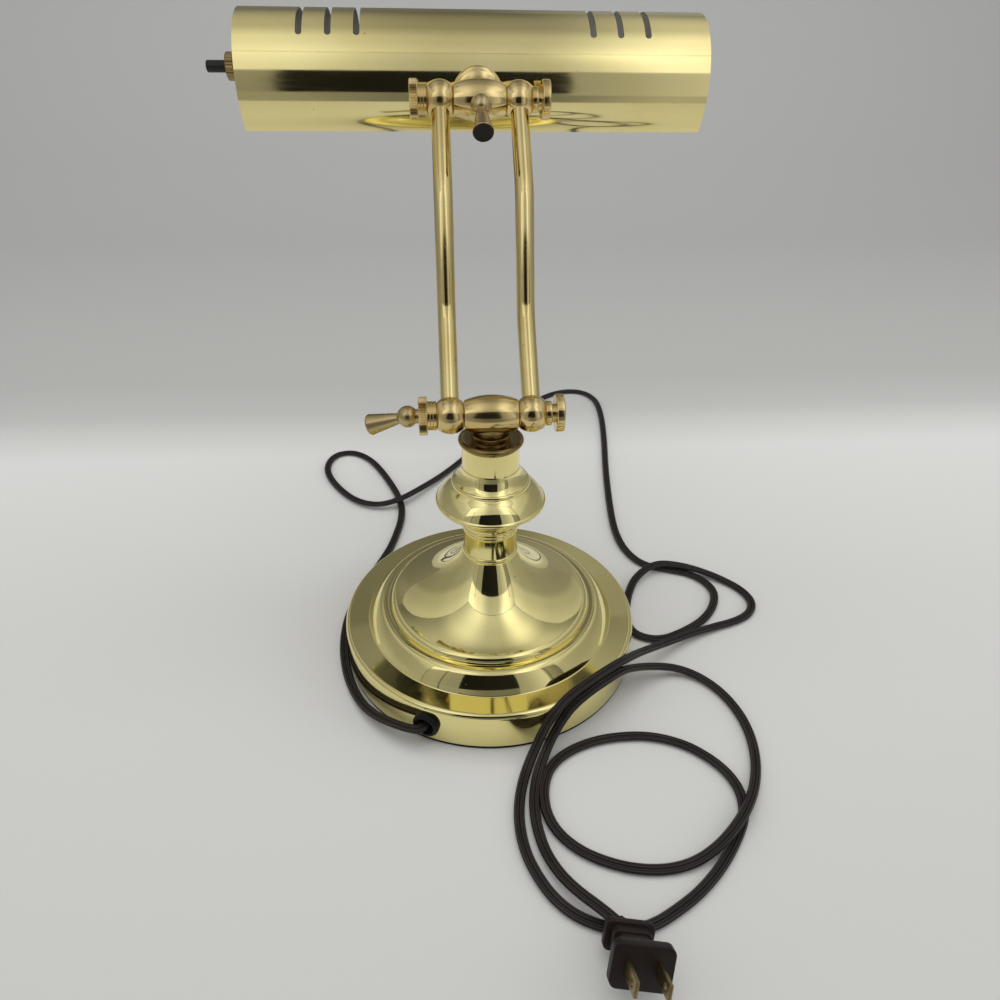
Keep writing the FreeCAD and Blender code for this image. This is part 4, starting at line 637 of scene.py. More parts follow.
steel = metal("plated_steel", (0.62, 0.62, 0.60), (0.50, 0.50, 0.49), 0.28, 0.42,
              LINES_ROUND_Z, 0.001, 0.2)
cast_iron = metal("cast_iron", (0.12, 0.12, 0.12), (0.07, 0.07, 0.07), 0.6, 0.8,
                  (900, 900, 900), 0.05, 0.9)
print("metals mixed, materials so far", len(bpy.data.materials))

# %% [markdown]
# ## Plastic, rubber, felt and glass
#
# The plug, the cord and the bushing are dark, slightly glossy plastic and rubber. Moulded plastic
# has a very fine grain and a few duller patches from handling. One group gives that grain, and
# each plastic has its own colour, its own gloss and its own scale.

# %% Build the moulded grain group
moulded_grain, given, result = new_group(
    "moulded_grain", Place=(0, 0, 0), Colour=(0.02, 0.02, 0.02, 1), Worn_Colour=(0.05, 0.05, 0.05, 1),
    Grain_Scale=2500.0, Smooth=0.35, Rough=0.55,
)
handling = add_node(moulded_grain, "TexNoise", Vector=given["Place"], Scale=45.0, Detail=4.0,
                    Roughness=0.6)
handled = spread(moulded_grain, handling.outputs["Fac"], 0.4, 0.72)
tinted = blend(moulded_grain, handled, given["Colour"], given["Worn Colour"])
feed(moulded_grain, result["Colour"], tinted)
dulled = spread(moulded_grain, handled, 0.0, 1.0, To_Min=given["Smooth"], To_Max=given["Rough"])
feed(moulded_grain, result["Roughness"], dulled)
grain = add_node(moulded_grain, "TexNoise", Vector=given["Place"], Scale=given["Grain Scale"], Detail=2.0)
feed(moulded_grain, result["Height"], grain.outputs["Fac"])
GRAIN_DEPTH = 0.1 * MM


def moulded(name, colour, worn, smooth, rough, scale=2500.0, relief=0.15, **values):
    """A plastic, rubber, enamel or felt with the shared grain."""
    material, tree, shader = new_surface(name, rough, 0.0, **values)
    dress_shader(tree, shader, moulded_grain, relief, GRAIN_DEPTH, {
        "Colour": (*colour, 1), "Worn Colour": (*worn, 1), "Grain Scale": scale,
        "Smooth": smooth, "Rough": rough,
    })
    return material


# %% [markdown]
# The insulation of the flex has fine ribs that run along it. They could be modelled, but they are
# only a few tenths of a millimetre high on a cord over two metres long. So they are a wave across
# the cord's own UV map, where U goes once round: it bends the normal and darkens the grooves with painted
# shade.

# %% A helper that adds ribs to a finish
def ribbed(material, ribs, depth, groove):
    """Runs fine ribs along a piece whose U goes once round it, with painted shade in the grooves between
    them.
    """
    tree = material.node_tree
    shader = tree.nodes["Principled BSDF"]
    plain = {name: shader.inputs[name].links[0].from_socket for name in ("Base Color", "Normal")}
    round_it = calculate(tree, "MULTIPLY", coordinates(tree, "UV")["X"], 2 * math.pi * ribs)
    crest = spread(tree, calculate(tree, "SINE", round_it), -1.0, 1.0)
    bump = add_node(tree, "Bump", Strength=1.0, Distance=depth, Height=crest, Normal=plain["Normal"])
    feed(tree, shader.inputs["Base Color"], blend(tree, crest, (*groove, 1), plain["Base Color"]))
    feed(tree, shader.inputs["Normal"], bump.outputs["Normal"])


# %% Mix the plastics and the rest
cord_plastic = moulded("flex_plastic", (0.024, 0.017, 0.0135), (0.042, 0.031, 0.025), 0.34, 0.48,
                       Specular_IOR_Level=0.4)
# The last colour is painted shade in the grooves between the ribs.
ribbed(cord_plastic, 10, 0.0003, (0.0020, 0.0014, 0.0012))
plug_plastic = moulded("plug_moulding", (0.0105, 0.0060, 0.0050), (0.018, 0.0110, 0.0095), 0.36, 0.52,
                       1800.0, Specular_IOR_Level=0.25)
black_plastic = moulded("plunger_plastic", (0.006, 0.006, 0.006), (0.012, 0.012, 0.012), 0.30, 0.45,
                        Specular_IOR_Level=0.3)
# Near-black for the flat ends of the lever handles: a painted reflection of the dark opening.
tip_painted_reflection = moulded("tip_painted_reflection", (0.010, 0.007, 0.005), (0.022, 0.016, 0.012), 0.35, 0.6, 1200.0,
                    Specular_IOR_Level=0.3)
rubber = moulded("bushing_rubber", (0.0035, 0.0035, 0.0035), (0.008, 0.008, 0.007), 0.4, 0.6,
                 Specular_IOR_Level=0.2)
wire_plastic = moulded("lead_plastic", (0.16, 0.16, 0.15), (0.24, 0.24, 0.22), 0.4, 0.55)
felt = moulded("pad_felt", (0.006, 0.006, 0.006), (0.012, 0.012, 0.011), 0.9, 1.0, 1400.0, 0.9,
               Specular_IOR_Level=0.1)
reflector_enamel = moulded("reflector_enamel", (0.46, 0.45, 0.42), (0.40, 0.39, 0.36), 0.30, 0.42,
                           900.0, 0.06)
bulb_white = moulded("opal_glass", (0.86, 0.85, 0.80), (0.82, 0.81, 0.76), 0.22, 0.30, 1200.0, 0.03)
print("materials", len(bpy.data.materials))

# %% [markdown]
# ## The base
#
# The base is a shell of spun brass over a cast weight: an upright wall, a rounded rim, a convex
# step, a small bead and a hollow cone that sweeps up to the column. It could be made from a
# subdivided cylinder, but an outline with true arcs gives the clean reflections of spun metal.
# Its wall is 1.2 mm thick all the way, so the outline runs up the outside and down the inside.

# %% Spin the base shell
WALL = 1.2
BASE_RADIUS = 84.0
RIM_TOP = 24.0
RIM_ROUND = 2.8
STEP_FOOT = (70.5, RIM_TOP)
STEP_SHOULDER = (64.0, 32.3)
STEP_TOP = (58.5, 33.5)
STEP_BULGE = 36.0
SHOULDER_ROUND = 5.6
BEAD_ROUND = 4.2
CONE_TOP = 67.0
CONE_FOOT = (53.5, 37.5)
CONE_NECK = (15.2, CONE_TOP)
CONE_SWEEP = 62.0
PIPE_RADIUS = 4.8
PAD_THICK = 2.0
PAD_RADIUS = 83.2
rim_corner = BASE_RADIUS - RIM_ROUND
wall_inside = BASE_RADIUS - WALL


def inwards(place, *bend):
    """A place of the outside, one wall further in and down, with its arc if it has one."""
    return (place[0] - WALL, place[1] - WALL, *bend)


base_outside = [
    (wall_inside, PAD_THICK), (BASE_RADIUS, PAD_THICK), (BASE_RADIUS, RIM_TOP - RIM_ROUND),
    arc(rim_corner, RIM_TOP, RIM_ROUND, 1), STEP_FOOT, arc(*STEP_SHOULDER, STEP_BULGE, 1),
    arc(*STEP_TOP, SHOULDER_ROUND, 1), (57.3, 33.4), arc(*CONE_FOOT, BEAD_ROUND, 1),
    arc(*CONE_NECK, CONE_SWEEP, -1), (PIPE_RADIUS, CONE_TOP),
]
base_inside = [
    (PIPE_RADIUS, CONE_TOP - WALL), inwards(CONE_NECK), inwards(CONE_FOOT, CONE_SWEEP, 1),
    inwards((57.3, 33.5), BEAD_ROUND, -1), inwards(STEP_TOP), inwards(STEP_SHOULDER, SHOULDER_ROUND, -1),
    inwards(STEP_FOOT, STEP_BULGE, -1), (rim_corner, RIM_TOP - WALL),
    arc(wall_inside, RIM_TOP - RIM_ROUND, RIM_ROUND - WALL, -1),
]
base_shell = turned("base_shell", base_outside + base_inside, ease=0.5, segments=192)

pad = turned("base_pad", [(0, 0), (PAD_RADIUS, 0), arc(PAD_RADIUS, PAD_THICK, 1.2, 1), (0, PAD_THICK)],
             ease=0.1, segments=128, closed=False)
finished(pad, "base_pad", felt)

# %% Bore the hole for the cord
exit_turn = math.radians(26.5)
exit_way = Vector((-math.sin(exit_turn), -math.cos(exit_turn), 0))
exit_height = Vector((0, 0, 12.5))
BARREL_RADIUS = 5.5
hole_from = exit_way * (BASE_RADIUS - 5) + exit_height
hole_to = exit_way * (BASE_RADIUS + 6) + exit_height
carve(base_shell, rod("exit_hole", BARREL_RADIUS, hole_from, hole_to))
finished(base_shell, "base_shell", polished_brass)
print("base", len(base_shell.data.polygons))

# %% [markdown]
# The cord leaves through a black rubber bushing: a domed ring outside the wall, a barrel through
# it. It is turned about X like the axle parts below, and then laid along the cord's way out.

# %% Turn the bushing
bushing = turned("cord_bushing", [
    (-3.4, 2.75), (-3.4, 5.45), (-0.1, 5.45), (-0.1, 7.2), (1.2, 7.2),
    arc(2.9, 5.9, 1.7, -1), (2.9, 5.2), (-1.4, 2.75),
], axis="X", segments=64)
lay_along(bushing, exit_way, exit_way * BASE_RADIUS + exit_height)
finished(bushing, "cord_grommet", rubber)
print("bushing", len(bushing.data.polygons))

# %% [markdown]
# ## The column
#
# On the cone stand a band with three fine rings, a hollow vase in two tiers, and a darker cap.
# A knurled ring on top keeps the swivel hub off the cap. All of them are turned about Z.

# %% Turn the band
BAND_RADIUS = 14.6
BAND_TOP = 88.0
RING_COUNT = 3
RING_PITCH = 2.2
RING_STEP = 0.3
rings_low = BAND_TOP - RING_COUNT * RING_PITCH
band = [(PIPE_RADIUS, CONE_TOP), CONE_NECK, arc(BAND_RADIUS, 69.6, 1.7, 1), (BAND_RADIUS, rings_low)]
for ring_index in range(RING_COUNT):
    ring_low = rings_low + RING_PITCH * ring_index
    ring_radius = BAND_RADIUS + RING_STEP * ring_index
    band.append(arc(ring_radius, ring_low + 2.1, 1.35, 1))
    band.append((ring_radius + RING_STEP, ring_low + RING_PITCH))
band[-1] = (CONE_NECK[0], BAND_TOP)
band.append((PIPE_RADIUS, BAND_TOP))
column_band = finished(turned("column_band", band, ease=0.12), "column_band", polished_brass)
print("band", len(column_band.data.polygons))

# %% Turn the vase
VASE_TOP = 134.2
column_vase = turned("column_vase", [
    (PIPE_RADIUS, BAND_TOP), (16.5, BAND_TOP), (16.5, 89.0), (28.0, 99.4), (28.9, 100.2),
    arc(28.9, 102.4, 1.25, 1), (28.6, 102.6), arc(20.9, 111.3, 26.0, 1), (20.6, 111.6),
    arc(19.6, 113.8, 1.5, 1), arc(15.3, 121.5, 11.5, -1), (15.0, 122.0), (15.0, VASE_TOP),
    (PIPE_RADIUS, VASE_TOP), (PIPE_RADIUS, 131.6), (12.5, 131.6), (12.5, 119.5), (17.8, 110.2),
    (25.1, 104.4), (25.1, 100.0), (14.5, 90.6), (PIPE_RADIUS, 90.6),
], ease=0.15, segments=128)
finished(column_vase, "column_vase", polished_brass)
print("vase", len(column_vase.data.polygons))

# %% Turn the cap and the knurled ring
CAP_TOP = 138.2
CHECK_TOP = 140.6
CHECK_RADIUS = 10.0
CHECK_TEETH = 64
column_cap = turned("column_cap", [
    (PIPE_RADIUS, VASE_TOP), (15.2, VASE_TOP), (16.2, 135.4), arc(16.1, 137.9, 1.4, 1),
    (15.4, CAP_TOP), (14.2, 137.6), (10.6, 137.4), (10.6, CAP_TOP), (PIPE_RADIUS, CAP_TOP),
], ease=0.15)
finished(column_cap, "column_cap", aged_brass_and_painted_shade)

check_ring = knurled("check_ring", [
    (PIPE_RADIUS, CAP_TOP), (9.7, CAP_TOP), (CHECK_RADIUS, CAP_TOP + 0.3),
    (CHECK_RADIUS, CHECK_TOP - 0.3), (9.6, CHECK_TOP), (PIPE_RADIUS, CHECK_TOP),
], (0, 0, 0), "Z", CHECK_RADIUS, 0.35, CHECK_TEETH)
finished(check_ring, "check_ring", aged_brass_and_painted_shade, smooth=20)
print("cap and ring", len(column_cap.data.polygons), len(check_ring.data.polygons))

# %% [markdown]
# ## The two knuckles
#
# Both tilting joints are the same set: an egg-shaped hub between two balls that carry the arm
# tubes, a grooved collar and a knurled nut on the left, a plain ring and a flat head on the right,
# all on one axle. Each is turned about X at its own axis. The hub of the lower knuckle has a round
# foot, and that of the upper one a flared boss for the stem of the shade.

# %% Where the two axes lie
LOWER_AXIS = Vector((0, 0, 150.6))
UPPER_AXIS = Vector((0, 101.191, 281.501))
STEM_RISE = 4.2
STEM_RADIUS = 4.8
ARM_LEAN = 46.5
AXLE_RADIUS = 3.2
BALL_MIDDLE = 20.5
BALL_RADIUS = 9.4
BALL_HALF = 6.85
BALL_FACE = 6.437
HUB_HALF = 13.5
HUB_FACE = 7.4
HUB_BULGE = 36.35
TUBE_RADIUS = 4.75
SOCKET_FLOOR = 5.4


def egg(name, centre):
    """The hub: one long arc from face to face, bored for the axle."""
    return turned(name, [
        (-HUB_HALF, 3.25), (HUB_HALF, 3.25), (HUB_HALF, HUB_FACE),
        arc(-HUB_HALF, HUB_FACE, HUB_BULGE, 1),
    ], centre, "X", ease=0.3)


def tipped_to_stem(piece):
    """Turns a piece made upright over the upper axis until it lies along the stem of the shade."""
    return turn_piece(piece, STEM_RISE - 90, "X", UPPER_AXIS)


# %% Make the two hubs
lower_hub = joined(egg("lower_hub", LOWER_AXIS), turned("lower_foot", [
    (4.9, 140.75), (8.2, 140.75), (8.2, 146.6), (4.9, 146.6),
], ease=0.3))
finished(lower_hub, "lower_hub", satin_brass)
# The round foot under the egg gets the dark aged brass as painted shade, where the egg shades it.
FOOT_SHADE_EDGE = 144
paint_faces(lower_hub, aged_brass_and_painted_shade, lambda face: face.center.z < FOOT_SHADE_EDGE * MM)

boss = tipped_to_stem(turned("upper_boss", [
    (4.85, 5.0), (8.6, 5.0), (8.6, 10.6), arc(12.1, 13.6, 7.0, -1), arc(12.1, 17.6, 2.1, 1), (4.85, 17.6),
], UPPER_AXIS, ease=0.15))
upper_hub = finished(joined(egg("upper_hub", UPPER_AXIS), boss), "upper_hub", satin_brass)
print("hubs", len(lower_hub.data.polygons), len(upper_hub.data.polygons))


# %% Make the balls, with sockets for the tubes
def arm_ball(node, x, centre, way):
    """A true ball, flat where it meets its neighbours, with the socket of its tube."""
    middle = centre + Vector((x, 0, 0))
    ball = turned(node, [
        (-BALL_HALF, AXLE_RADIUS), (BALL_HALF, AXLE_RADIUS), (BALL_HALF, BALL_FACE),
        arc(-BALL_HALF, BALL_FACE, BALL_RADIUS, 1),
    ], middle, "X", ease=0.3)
    lean = math.radians(ARM_LEAN)
    out = Vector((0, math.sin(lean), math.cos(lean))) * way
    carve(ball, rod("socket", TUBE_RADIUS, middle + out * SOCKET_FLOOR, middle + out * 14))
    return finished(ball, node, satin_brass)


for side, sign in (("left", -1), ("right", 1)):
    arm_ball("ball_lower_" + side, BALL_MIDDLE * sign, LOWER_AXIS, 1)
    arm_ball("ball_upper_" + side, BALL_MIDDLE * sign, UPPER_AXIS, -1)

# %% Make the axles, collars, rings and nuts
NUT_TEETH = 72
HEAD_RADIUS = 9.6
HEAD_EDGE = 9.1
AXLE_LEFT = -36.15
COLLAR_RADIUS = 7.3
GROOVE_RADIUS = 7.0


def axle_set(knuckle, centre, hollow):
    """Axle with its flat head, grooved collar, plain ring and knurled nut."""
    bore = [(-27.15, 0), (-27.15, 2.25), (AXLE_LEFT, 2.25)] if hollow else [(AXLE_LEFT, 0)]
    axle = bore + [
        (AXLE_LEFT, AXLE_RADIUS), (30.35, AXLE_RADIUS), (30.35, 4.7), (32.25, 4.7), (32.25, HEAD_EDGE),
        (32.75, HEAD_RADIUS), (36.05, HEAD_RADIUS), (36.55, HEAD_EDGE), (36.55, 0),
    ]
    groove = [(-31.85, AXLE_RADIUS), (-31.85, COLLAR_RADIUS)]
    for middle in (-30.36, -28.88):
        groove += [(middle - 0.2, COLLAR_RADIUS), (middle, GROOVE_RADIUS), (middle + 0.2, COLLAR_RADIUS)]
    groove += [(-27.35, COLLAR_RADIUS), (-27.35, AXLE_RADIUS)]
    ring = [(27.35, AXLE_RADIUS), (27.35, 6.3), (30.35, 6.3), (30.35, AXLE_RADIUS)]
    for name, steps, ease in (("_axle", axle, 0.3), ("_collar", groove, 0.12), ("_ring", ring, 0.45)):
        piece = turned(knuckle + name, steps, centre, "X", ease, closed=name != "_axle")
        finished(piece, knuckle + name, satin_brass)
    nut = knurled(knuckle + "_nut", [
        (AXLE_LEFT, AXLE_RADIUS), (AXLE_LEFT, HEAD_EDGE), (-35.75, HEAD_RADIUS), (-32.25, HEAD_RADIUS),
        (-31.85, HEAD_EDGE), (-31.85, AXLE_RADIUS),
    ], centre, "X", HEAD_RADIUS, 0.3, NUT_TEETH)
    finished(nut, knuckle + "_nut", satin_brass, smooth=20)


axle_set("lower", LOWER_AXIS, True)
axle_set("upper", UPPER_AXIS, False)
print("knuckles done")

# %% [markdown]
# ## The arms
#
# Each arm is a brass tube with two gentle bends. Its middle line is traced point by point, made
# into a curve, and given a round section. That keeps the tube evenly thick round the bends, which
# extruding a circle by hand would not. The second arm is a copy of the first.

# %% Trace, bend and copy an arm
ARM_BEND = 34.0
MIDDLE_LEAN = 22.0
END_RUN = 54.0
MIDDLE_RUN = 61.0


def arm_line():
    """The middle line of an arm above the lower axis, as places in millimetres."""
    lean, middle = math.radians(ARM_LEAN), math.radians(MIDDLE_LEAN)
    low = Vector((math.sin(lean), math.cos(lean)))
    high = Vector((math.sin(middle), math.cos(middle)))
    first = low * END_RUN
    second = first + high * MIDDLE_RUN
    trim = ARM_BEND * math.tan((lean - middle) / 2)
    points = [low * SOCKET_FLOOR, first - low * trim]
    points += arc_points(points[-1], first + high * trim, ARM_BEND, 1, math.radians(1.5))
    points.append(second - high * trim)
    points += arc_points(points[-1], second + low * trim, ARM_BEND, -1, math.radians(1.5))
    points.append(second + low * (END_RUN - SOCKET_FLOOR))
    return [LOWER_AXIS + Vector((-BALL_MIDDLE, point.x, point.y)) for point in points]


arm_left = trace("arm_tube_left", arm_line(), closed=False)
alone(arm_left)
bpy.ops.object.convert(target="CURVE")
arm_left = bpy.context.object
arm_left.data.bevel_depth = TUBE_RADIUS * MM
arm_left.data.bevel_resolution = 14
arm_left.data.use_fill_caps = True
bpy.ops.object.convert(target="MESH")
arm_left = close_up(bpy.context.object)
alone(arm_left)
bpy.ops.object.duplicate()
arm_right = bpy.context.object
arm_right.name = "arm_tube_right"
arm_right.data.transform(Matrix.Translation((2 * BALL_MIDDLE * MM, 0, 0)))
finished(arm_left, "arm_tube_left", tube_brass)
finished(arm_right, "arm_tube_right", tube_brass)
print("arms", len(arm_left.data.polygons))

# %% [markdown]
# ## The clamp levers
#
# A clamp lever is a ball with a handle that widens towards a flat end, bent a little off the line
# of its screw. Ball and handle are one turned outline. The lower lever screws into the axle, the
# upper one into the back of its hub.

# %% Turn the levers
LEVER_BEND = 24.0
LEVER_BALL = 5.4
SCREW_RADIUS = 2.2


def lever(node, screw_length, turn, place):
    """A lever made with its handle up, then tipped off the line of its screw and set in place."""
    piece = turned(node, [
        (0, -LEVER_BALL), arc(2.6, 4.733, LEVER_BALL, 1), (3.1, 7.0), (5.3, 20.3),
        arc(4.8, 21.5, 1.0, 1), (4.4, 21.2), (0, 21.2),
    ], ease=0.25, segments=64, closed=False)
    tipped = Matrix.Rotation(math.radians(LEVER_BEND - 90), 4, "Y")
    whole = Matrix.Translation(place * MM) @ turn
    piece.data.transform(tipped)
    joined(piece, rod("screw", SCREW_RADIUS, (2, 0, 0), (LEVER_BALL + screw_length, 0, 0), 32))
    joined(piece, rod("seat", 3.6, (1, 0, 0), (LEVER_BALL, 0, 0)))
    piece.data.transform(whole)
    finished(piece, node, lever_brass)
    handle_frame = (whole @ tipped).inverted()
    # The flat end of the handle is painted near-black, a painted reflection of the dark opening.
    paint_faces(piece, tip_painted_reflection, lambda face: (handle_frame @ face.center).z > 21.1 * MM)


lower_turn = Matrix.Rotation(math.radians(-142), 4, "X")
lever("lower_lever", 7.6, lower_turn, LOWER_AXIS + Vector((-41.7, 0, 0)))
stem_turn = Matrix.Rotation(math.radians(STEM_RISE), 4, "X")
upper_turn = stem_turn @ Matrix.Rotation(math.pi / 2, 4, "Z") @ Matrix.Rotation(math.pi, 4, "X")
stem_way = stem_turn @ Vector((0, 1, 0))
lever("upper_lever", 6.8, upper_turn, UPPER_AXIS - stem_way * 15.7)
print("levers done")

# %% [markdown]
# ## The shade
#
# The shade is a sheet of brass rolled round most of a circle and open below. Its section is drawn
# as one closed band and extruded along X. The vent slots are cut out with rounded cutters, and the
# normals of the rolled faces are then set to point straight away from the axis, because long flat
# faces beside a cut would otherwise bend the reflections.

# %% Roll the shade
SHADE_AXIS = UPPER_AXIS + stem_way * 54.2
SHADE_RADIUS = 35.0
SHEET = 0.8
SHADE_HALF = 127.0
FAR_EDGE = -29.5
NEAR_EDGE = 220.5
SHADE_STEPS = 160


def round_the_shade(degrees, radius, x=0.0):
    """A place on a circle about the shade's axis, by degrees from the far side over the top."""
    angle = math.radians(degrees)
    return SHADE_AXIS + Vector((x, math.cos(angle) * radius, math.sin(angle) * radius))


def rolled(name, inner, outer, left, right, first, last, steps):
    """A strip of sheet rolled about the shade's axis: one rectangle, filled and spun."""
    piece = trace(name, [
        round_the_shade(first, inner, left), round_the_shade(first, outer, left),
        round_the_shade(first, outer, right), round_the_shade(first, inner, right),
    ])
    with editing(piece):
        bpy.ops.mesh.edge_face_add()
        bpy.ops.mesh.spin(steps=steps, angle=math.radians(first - last), center=SHADE_AXIS * MM,
                          axis=(1, 0, 0))
    return close_up(piece)


shade = rolled("shade_shell", SHADE_RADIUS - SHEET, SHADE_RADIUS, -SHADE_HALF, SHADE_HALF,
               FAR_EDGE, NEAR_EDGE, SHADE_STEPS)
print("shade", len(shade.data.polygons))

# %% Cut the vent slots
SLOT_HALF = 1.7
SLOT_FROM = 44.5
SLOT_TO = 136.0
SLOT_STEPS = 60
SLOT_INSET = 34
SLOT_PITCH = 15
SLOT_COUNT = 3
END_STEPS = 6
END_TURN = 80


def slot_cutter(x):
    """A rolled strip 3.4 mm wide with a half-round added at each end, one narrower step at a time."""
    inner, outer = SHADE_RADIUS - 5, SHADE_RADIUS + 3
    cutter = rolled("slot", inner, outer, x - SLOT_HALF, x + SLOT_HALF, SLOT_FROM, SLOT_TO, SLOT_STEPS)
    for degrees, way in ((SLOT_FROM, -1), (SLOT_TO, 1)):
        out = round_the_shade(degrees, 1) - SHADE_AXIS
        onward = Vector((0, -out.z, out.y)) * way
        select_faces(cutter, lambda face: face.normal.dot(onward) > 0.999)
        middle = round_the_shade(degrees, (inner + outer) / 2, x) * MM
        before_along, before_wide = 0.0, 1.0
        with editing(cutter, None):
            for step in range(1, END_STEPS + 1):
                turn = math.radians(END_TURN * step / END_STEPS)
                along, wide = SLOT_HALF * math.sin(turn), math.cos(turn)
                bpy.ops.mesh.extrude_region_move(
                    TRANSFORM_OT_translate={"value": onward * (along - before_along) * MM})
                bpy.ops.transform.resize(value=(wide / before_wide, 1, 1), center_override=middle)
                before_along, before_wide = along, wide
    return close_up(cutter)


for sign in (-1, 1):
    for index in range(SLOT_COUNT):
        carve(shade, slot_cutter(sign * (SHADE_HALF - SLOT_INSET - SLOT_PITCH * index)))
carve(shade, rod("stem_hole", STEM_RADIUS, UPPER_AXIS + stem_way * 17, UPPER_AXIS + stem_way * 24))


# %% Point the normals of the rolled faces away from the axis
def outward(face):
    """How far a face looks away from the shade's axis, from -1 to 1."""
    middle = face.center - SHADE_AXIS * MM
    return face.normal.dot(Vector((0, middle.y, middle.z)).normalized())


def roll_normals(piece):
    """Sets the normals of faces that follow the cylinder to those of a true cylinder."""
    mesh = piece.data
    normals = []
    for polygon in mesh.polygons:
        lean = outward(polygon)
        for loop_index in polygon.loop_indices:
            if abs(lean) < 0.98:
                normals.append(polygon.normal.copy())
                continue
            place = mesh.vertices[mesh.loops[loop_index].vertex_index].co - SHADE_AXIS * MM
            away = Vector((0, place.y, place.z)).normalized()
            normals.append(away if lean > 0 else -away)
    for polygon in mesh.polygons:
        polygon.use_smooth = True
    mesh.normals_split_custom_set(normals)


finished(shade, "shade_shell", shade_brass)
roll_normals(shade)
paint_faces(shade, reflector_enamel, lambda face: outward(face) < -0.5)
print("shade with slots", len(shade.data.polygons))

# %% [markdown]
# The two ends are closed by pressed caps: a flat face with a flange inside the sheet. Each is the
# shade's own section less the sheet, extruded, with a smaller copy of it carved out.

# %% Press the end caps
CAP_FLANGE = 6.0
CAP_STEPS = 96


def pushed_out(piece, start, end):
    """Fills a closed outline and extrudes it along X from start to end."""
    with editing(piece):
        bpy.ops.mesh.edge_face_add()
        bpy.ops.transform.translate(value=(start * MM, 0, 0))
        bpy.ops.mesh.extrude_region_move(TRANSFORM_OT_translate={"value": ((end - start) * MM, 0, 0)})
    return close_up(piece)


def cap_blank(name, radius, start, end):
    """The area between the two edges of the shade, as a solid slab along X."""
    places = [round_the_shade(FAR_EDGE + (NEAR_EDGE - FAR_EDGE) * index / CAP_STEPS, radius)
              for index in range(CAP_STEPS + 1)]
    return pushed_out(trace(name, places), start, end)


def end_cap(node, sign):
    """A pan pressed from sheet: the face and a flange round the rolled side, open towards the lamp."""
    inner = SHADE_RADIUS - SHEET
    face = SHADE_HALF * sign
    cap = cap_blank(node, inner, face, face - CAP_FLANGE * sign)
    return carve(cap, cap_blank("pan", inner - SHEET, face - SHEET * sign, face - 20 * sign))


left_cap = end_cap("end_cap_left", -1)
SWITCH_AXIS = SHADE_AXIS + Vector((0, 0, 6.5))
BUSH_RADIUS = 5.0
carve(left_cap, rod("switch_hole", BUSH_RADIUS, SWITCH_AXIS - Vector((135, 0, 0)),
                    SWITCH_AXIS - Vector((120, 0, 0))))
right_cap = end_cap("end_cap_right", 1)
for cap, node, sign in ((left_cap, "end_cap_left", -1), (right_cap, "end_cap_right", 1)):
    finished(cap, node, polished_brass)
    paint_faces(cap, reflector_enamel, lambda face: outward(face) < -0.5 or face.normal.x * sign < -0.5)
print("caps done")

# %% [markdown]
# ## The saddle and the switch
#
# A saddle washer fills the space between the flat boss of the hub and the round shade. The push
# switch stands in the left cap: a threaded bush, a knurled nut, a washer and a black plunger.

# %% Make the saddle
saddle = tipped_to_stem(turned("outer_saddle", [
    (STEM_RADIUS, 17.75), (11.0, 17.75), (11.0, 22.75), (STEM_RADIUS, 22.75),
], UPPER_AXIS, ease=0.35))
drum_half = Vector((30, 0, 0))
carve(saddle, rod("saddle_drum", SHADE_RADIUS, SHADE_AXIS - drum_half, SHADE_AXIS + drum_half, 360))
finished(saddle, "outer_saddle", satin_brass)
print("saddle", len(saddle.data.polygons))

# %% Make the push switch
SWITCH_TEETH = 28
NUT_RADIUS = 7.2
PLUNGER_RADIUS = 3.1


def switch_piece(node, steps, ease, material, closed=True):
    """A turned piece on the axis of the switch."""
    finished(turned(node, steps, SWITCH_AXIS, "X", ease, 48, closed), node, material)


switch_piece("switch_body", [
    (-138.0, 3.15), (-138.0, BUSH_RADIUS), (-126.2, BUSH_RADIUS), (-126.2, 6.5),
    (-109.2, 6.5), (-109.2, 2.0), (-112.2, 2.0), (-112.2, 3.15),
], 0.2, aged_brass_and_painted_shade)
switch_nut = knurled("switch_nut", [
    (-137.5, BUSH_RADIUS), (-137.5, 6.7), (-137.0, NUT_RADIUS), (-133.4, NUT_RADIUS),
    (-132.9, 6.7), (-132.9, BUSH_RADIUS),
], SWITCH_AXIS, "X", NUT_RADIUS, 0.3, SWITCH_TEETH)
finished(switch_nut, "switch_nut", aged_brass_and_painted_shade, smooth=20)
switch_piece("switch_washer", [
    (-132.9, BUSH_RADIUS), (-132.9, 6.4), (-127.0, 6.4), (-127.0, BUSH_RADIUS),
], 0.4, aged_brass_and_painted_shade)
switch_piece("switch_plunger", [
    (-148.8, 0), (-148.8, 2.2), arc(-148.0, PLUNGER_RADIUS, 1.0, -1), (-115.2, PLUNGER_RADIUS),
    (-115.2, 0),
], 0.3, black_plastic, closed=False)
print("switch done")

# %% [markdown]
# ## The plug
#
# The plug is one moulding: a broad front plate that the blades stand in, a narrower grip behind
# it, and a rear plate where the cord goes in. Each plate is a cube whose upright edges are rounded
# and then all its edges softened, as a mould needs. It lies on the table with its front tipped up.

# %% Where the plug lies
PLUG_FACE = Vector((44.2, -201.3, 17.9))
PLUG_YAW, PLUG_TIP, PLUG_ROLL = 1.6, 31.4, -12.7
plug_frame = Matrix.Translation(PLUG_FACE * MM)
for degrees, about in ((PLUG_YAW, "Z"), (90 - PLUG_TIP, "X"), (PLUG_ROLL, "Z")):
    plug_frame = plug_frame @ Matrix.Rotation(math.radians(degrees), 4, about)


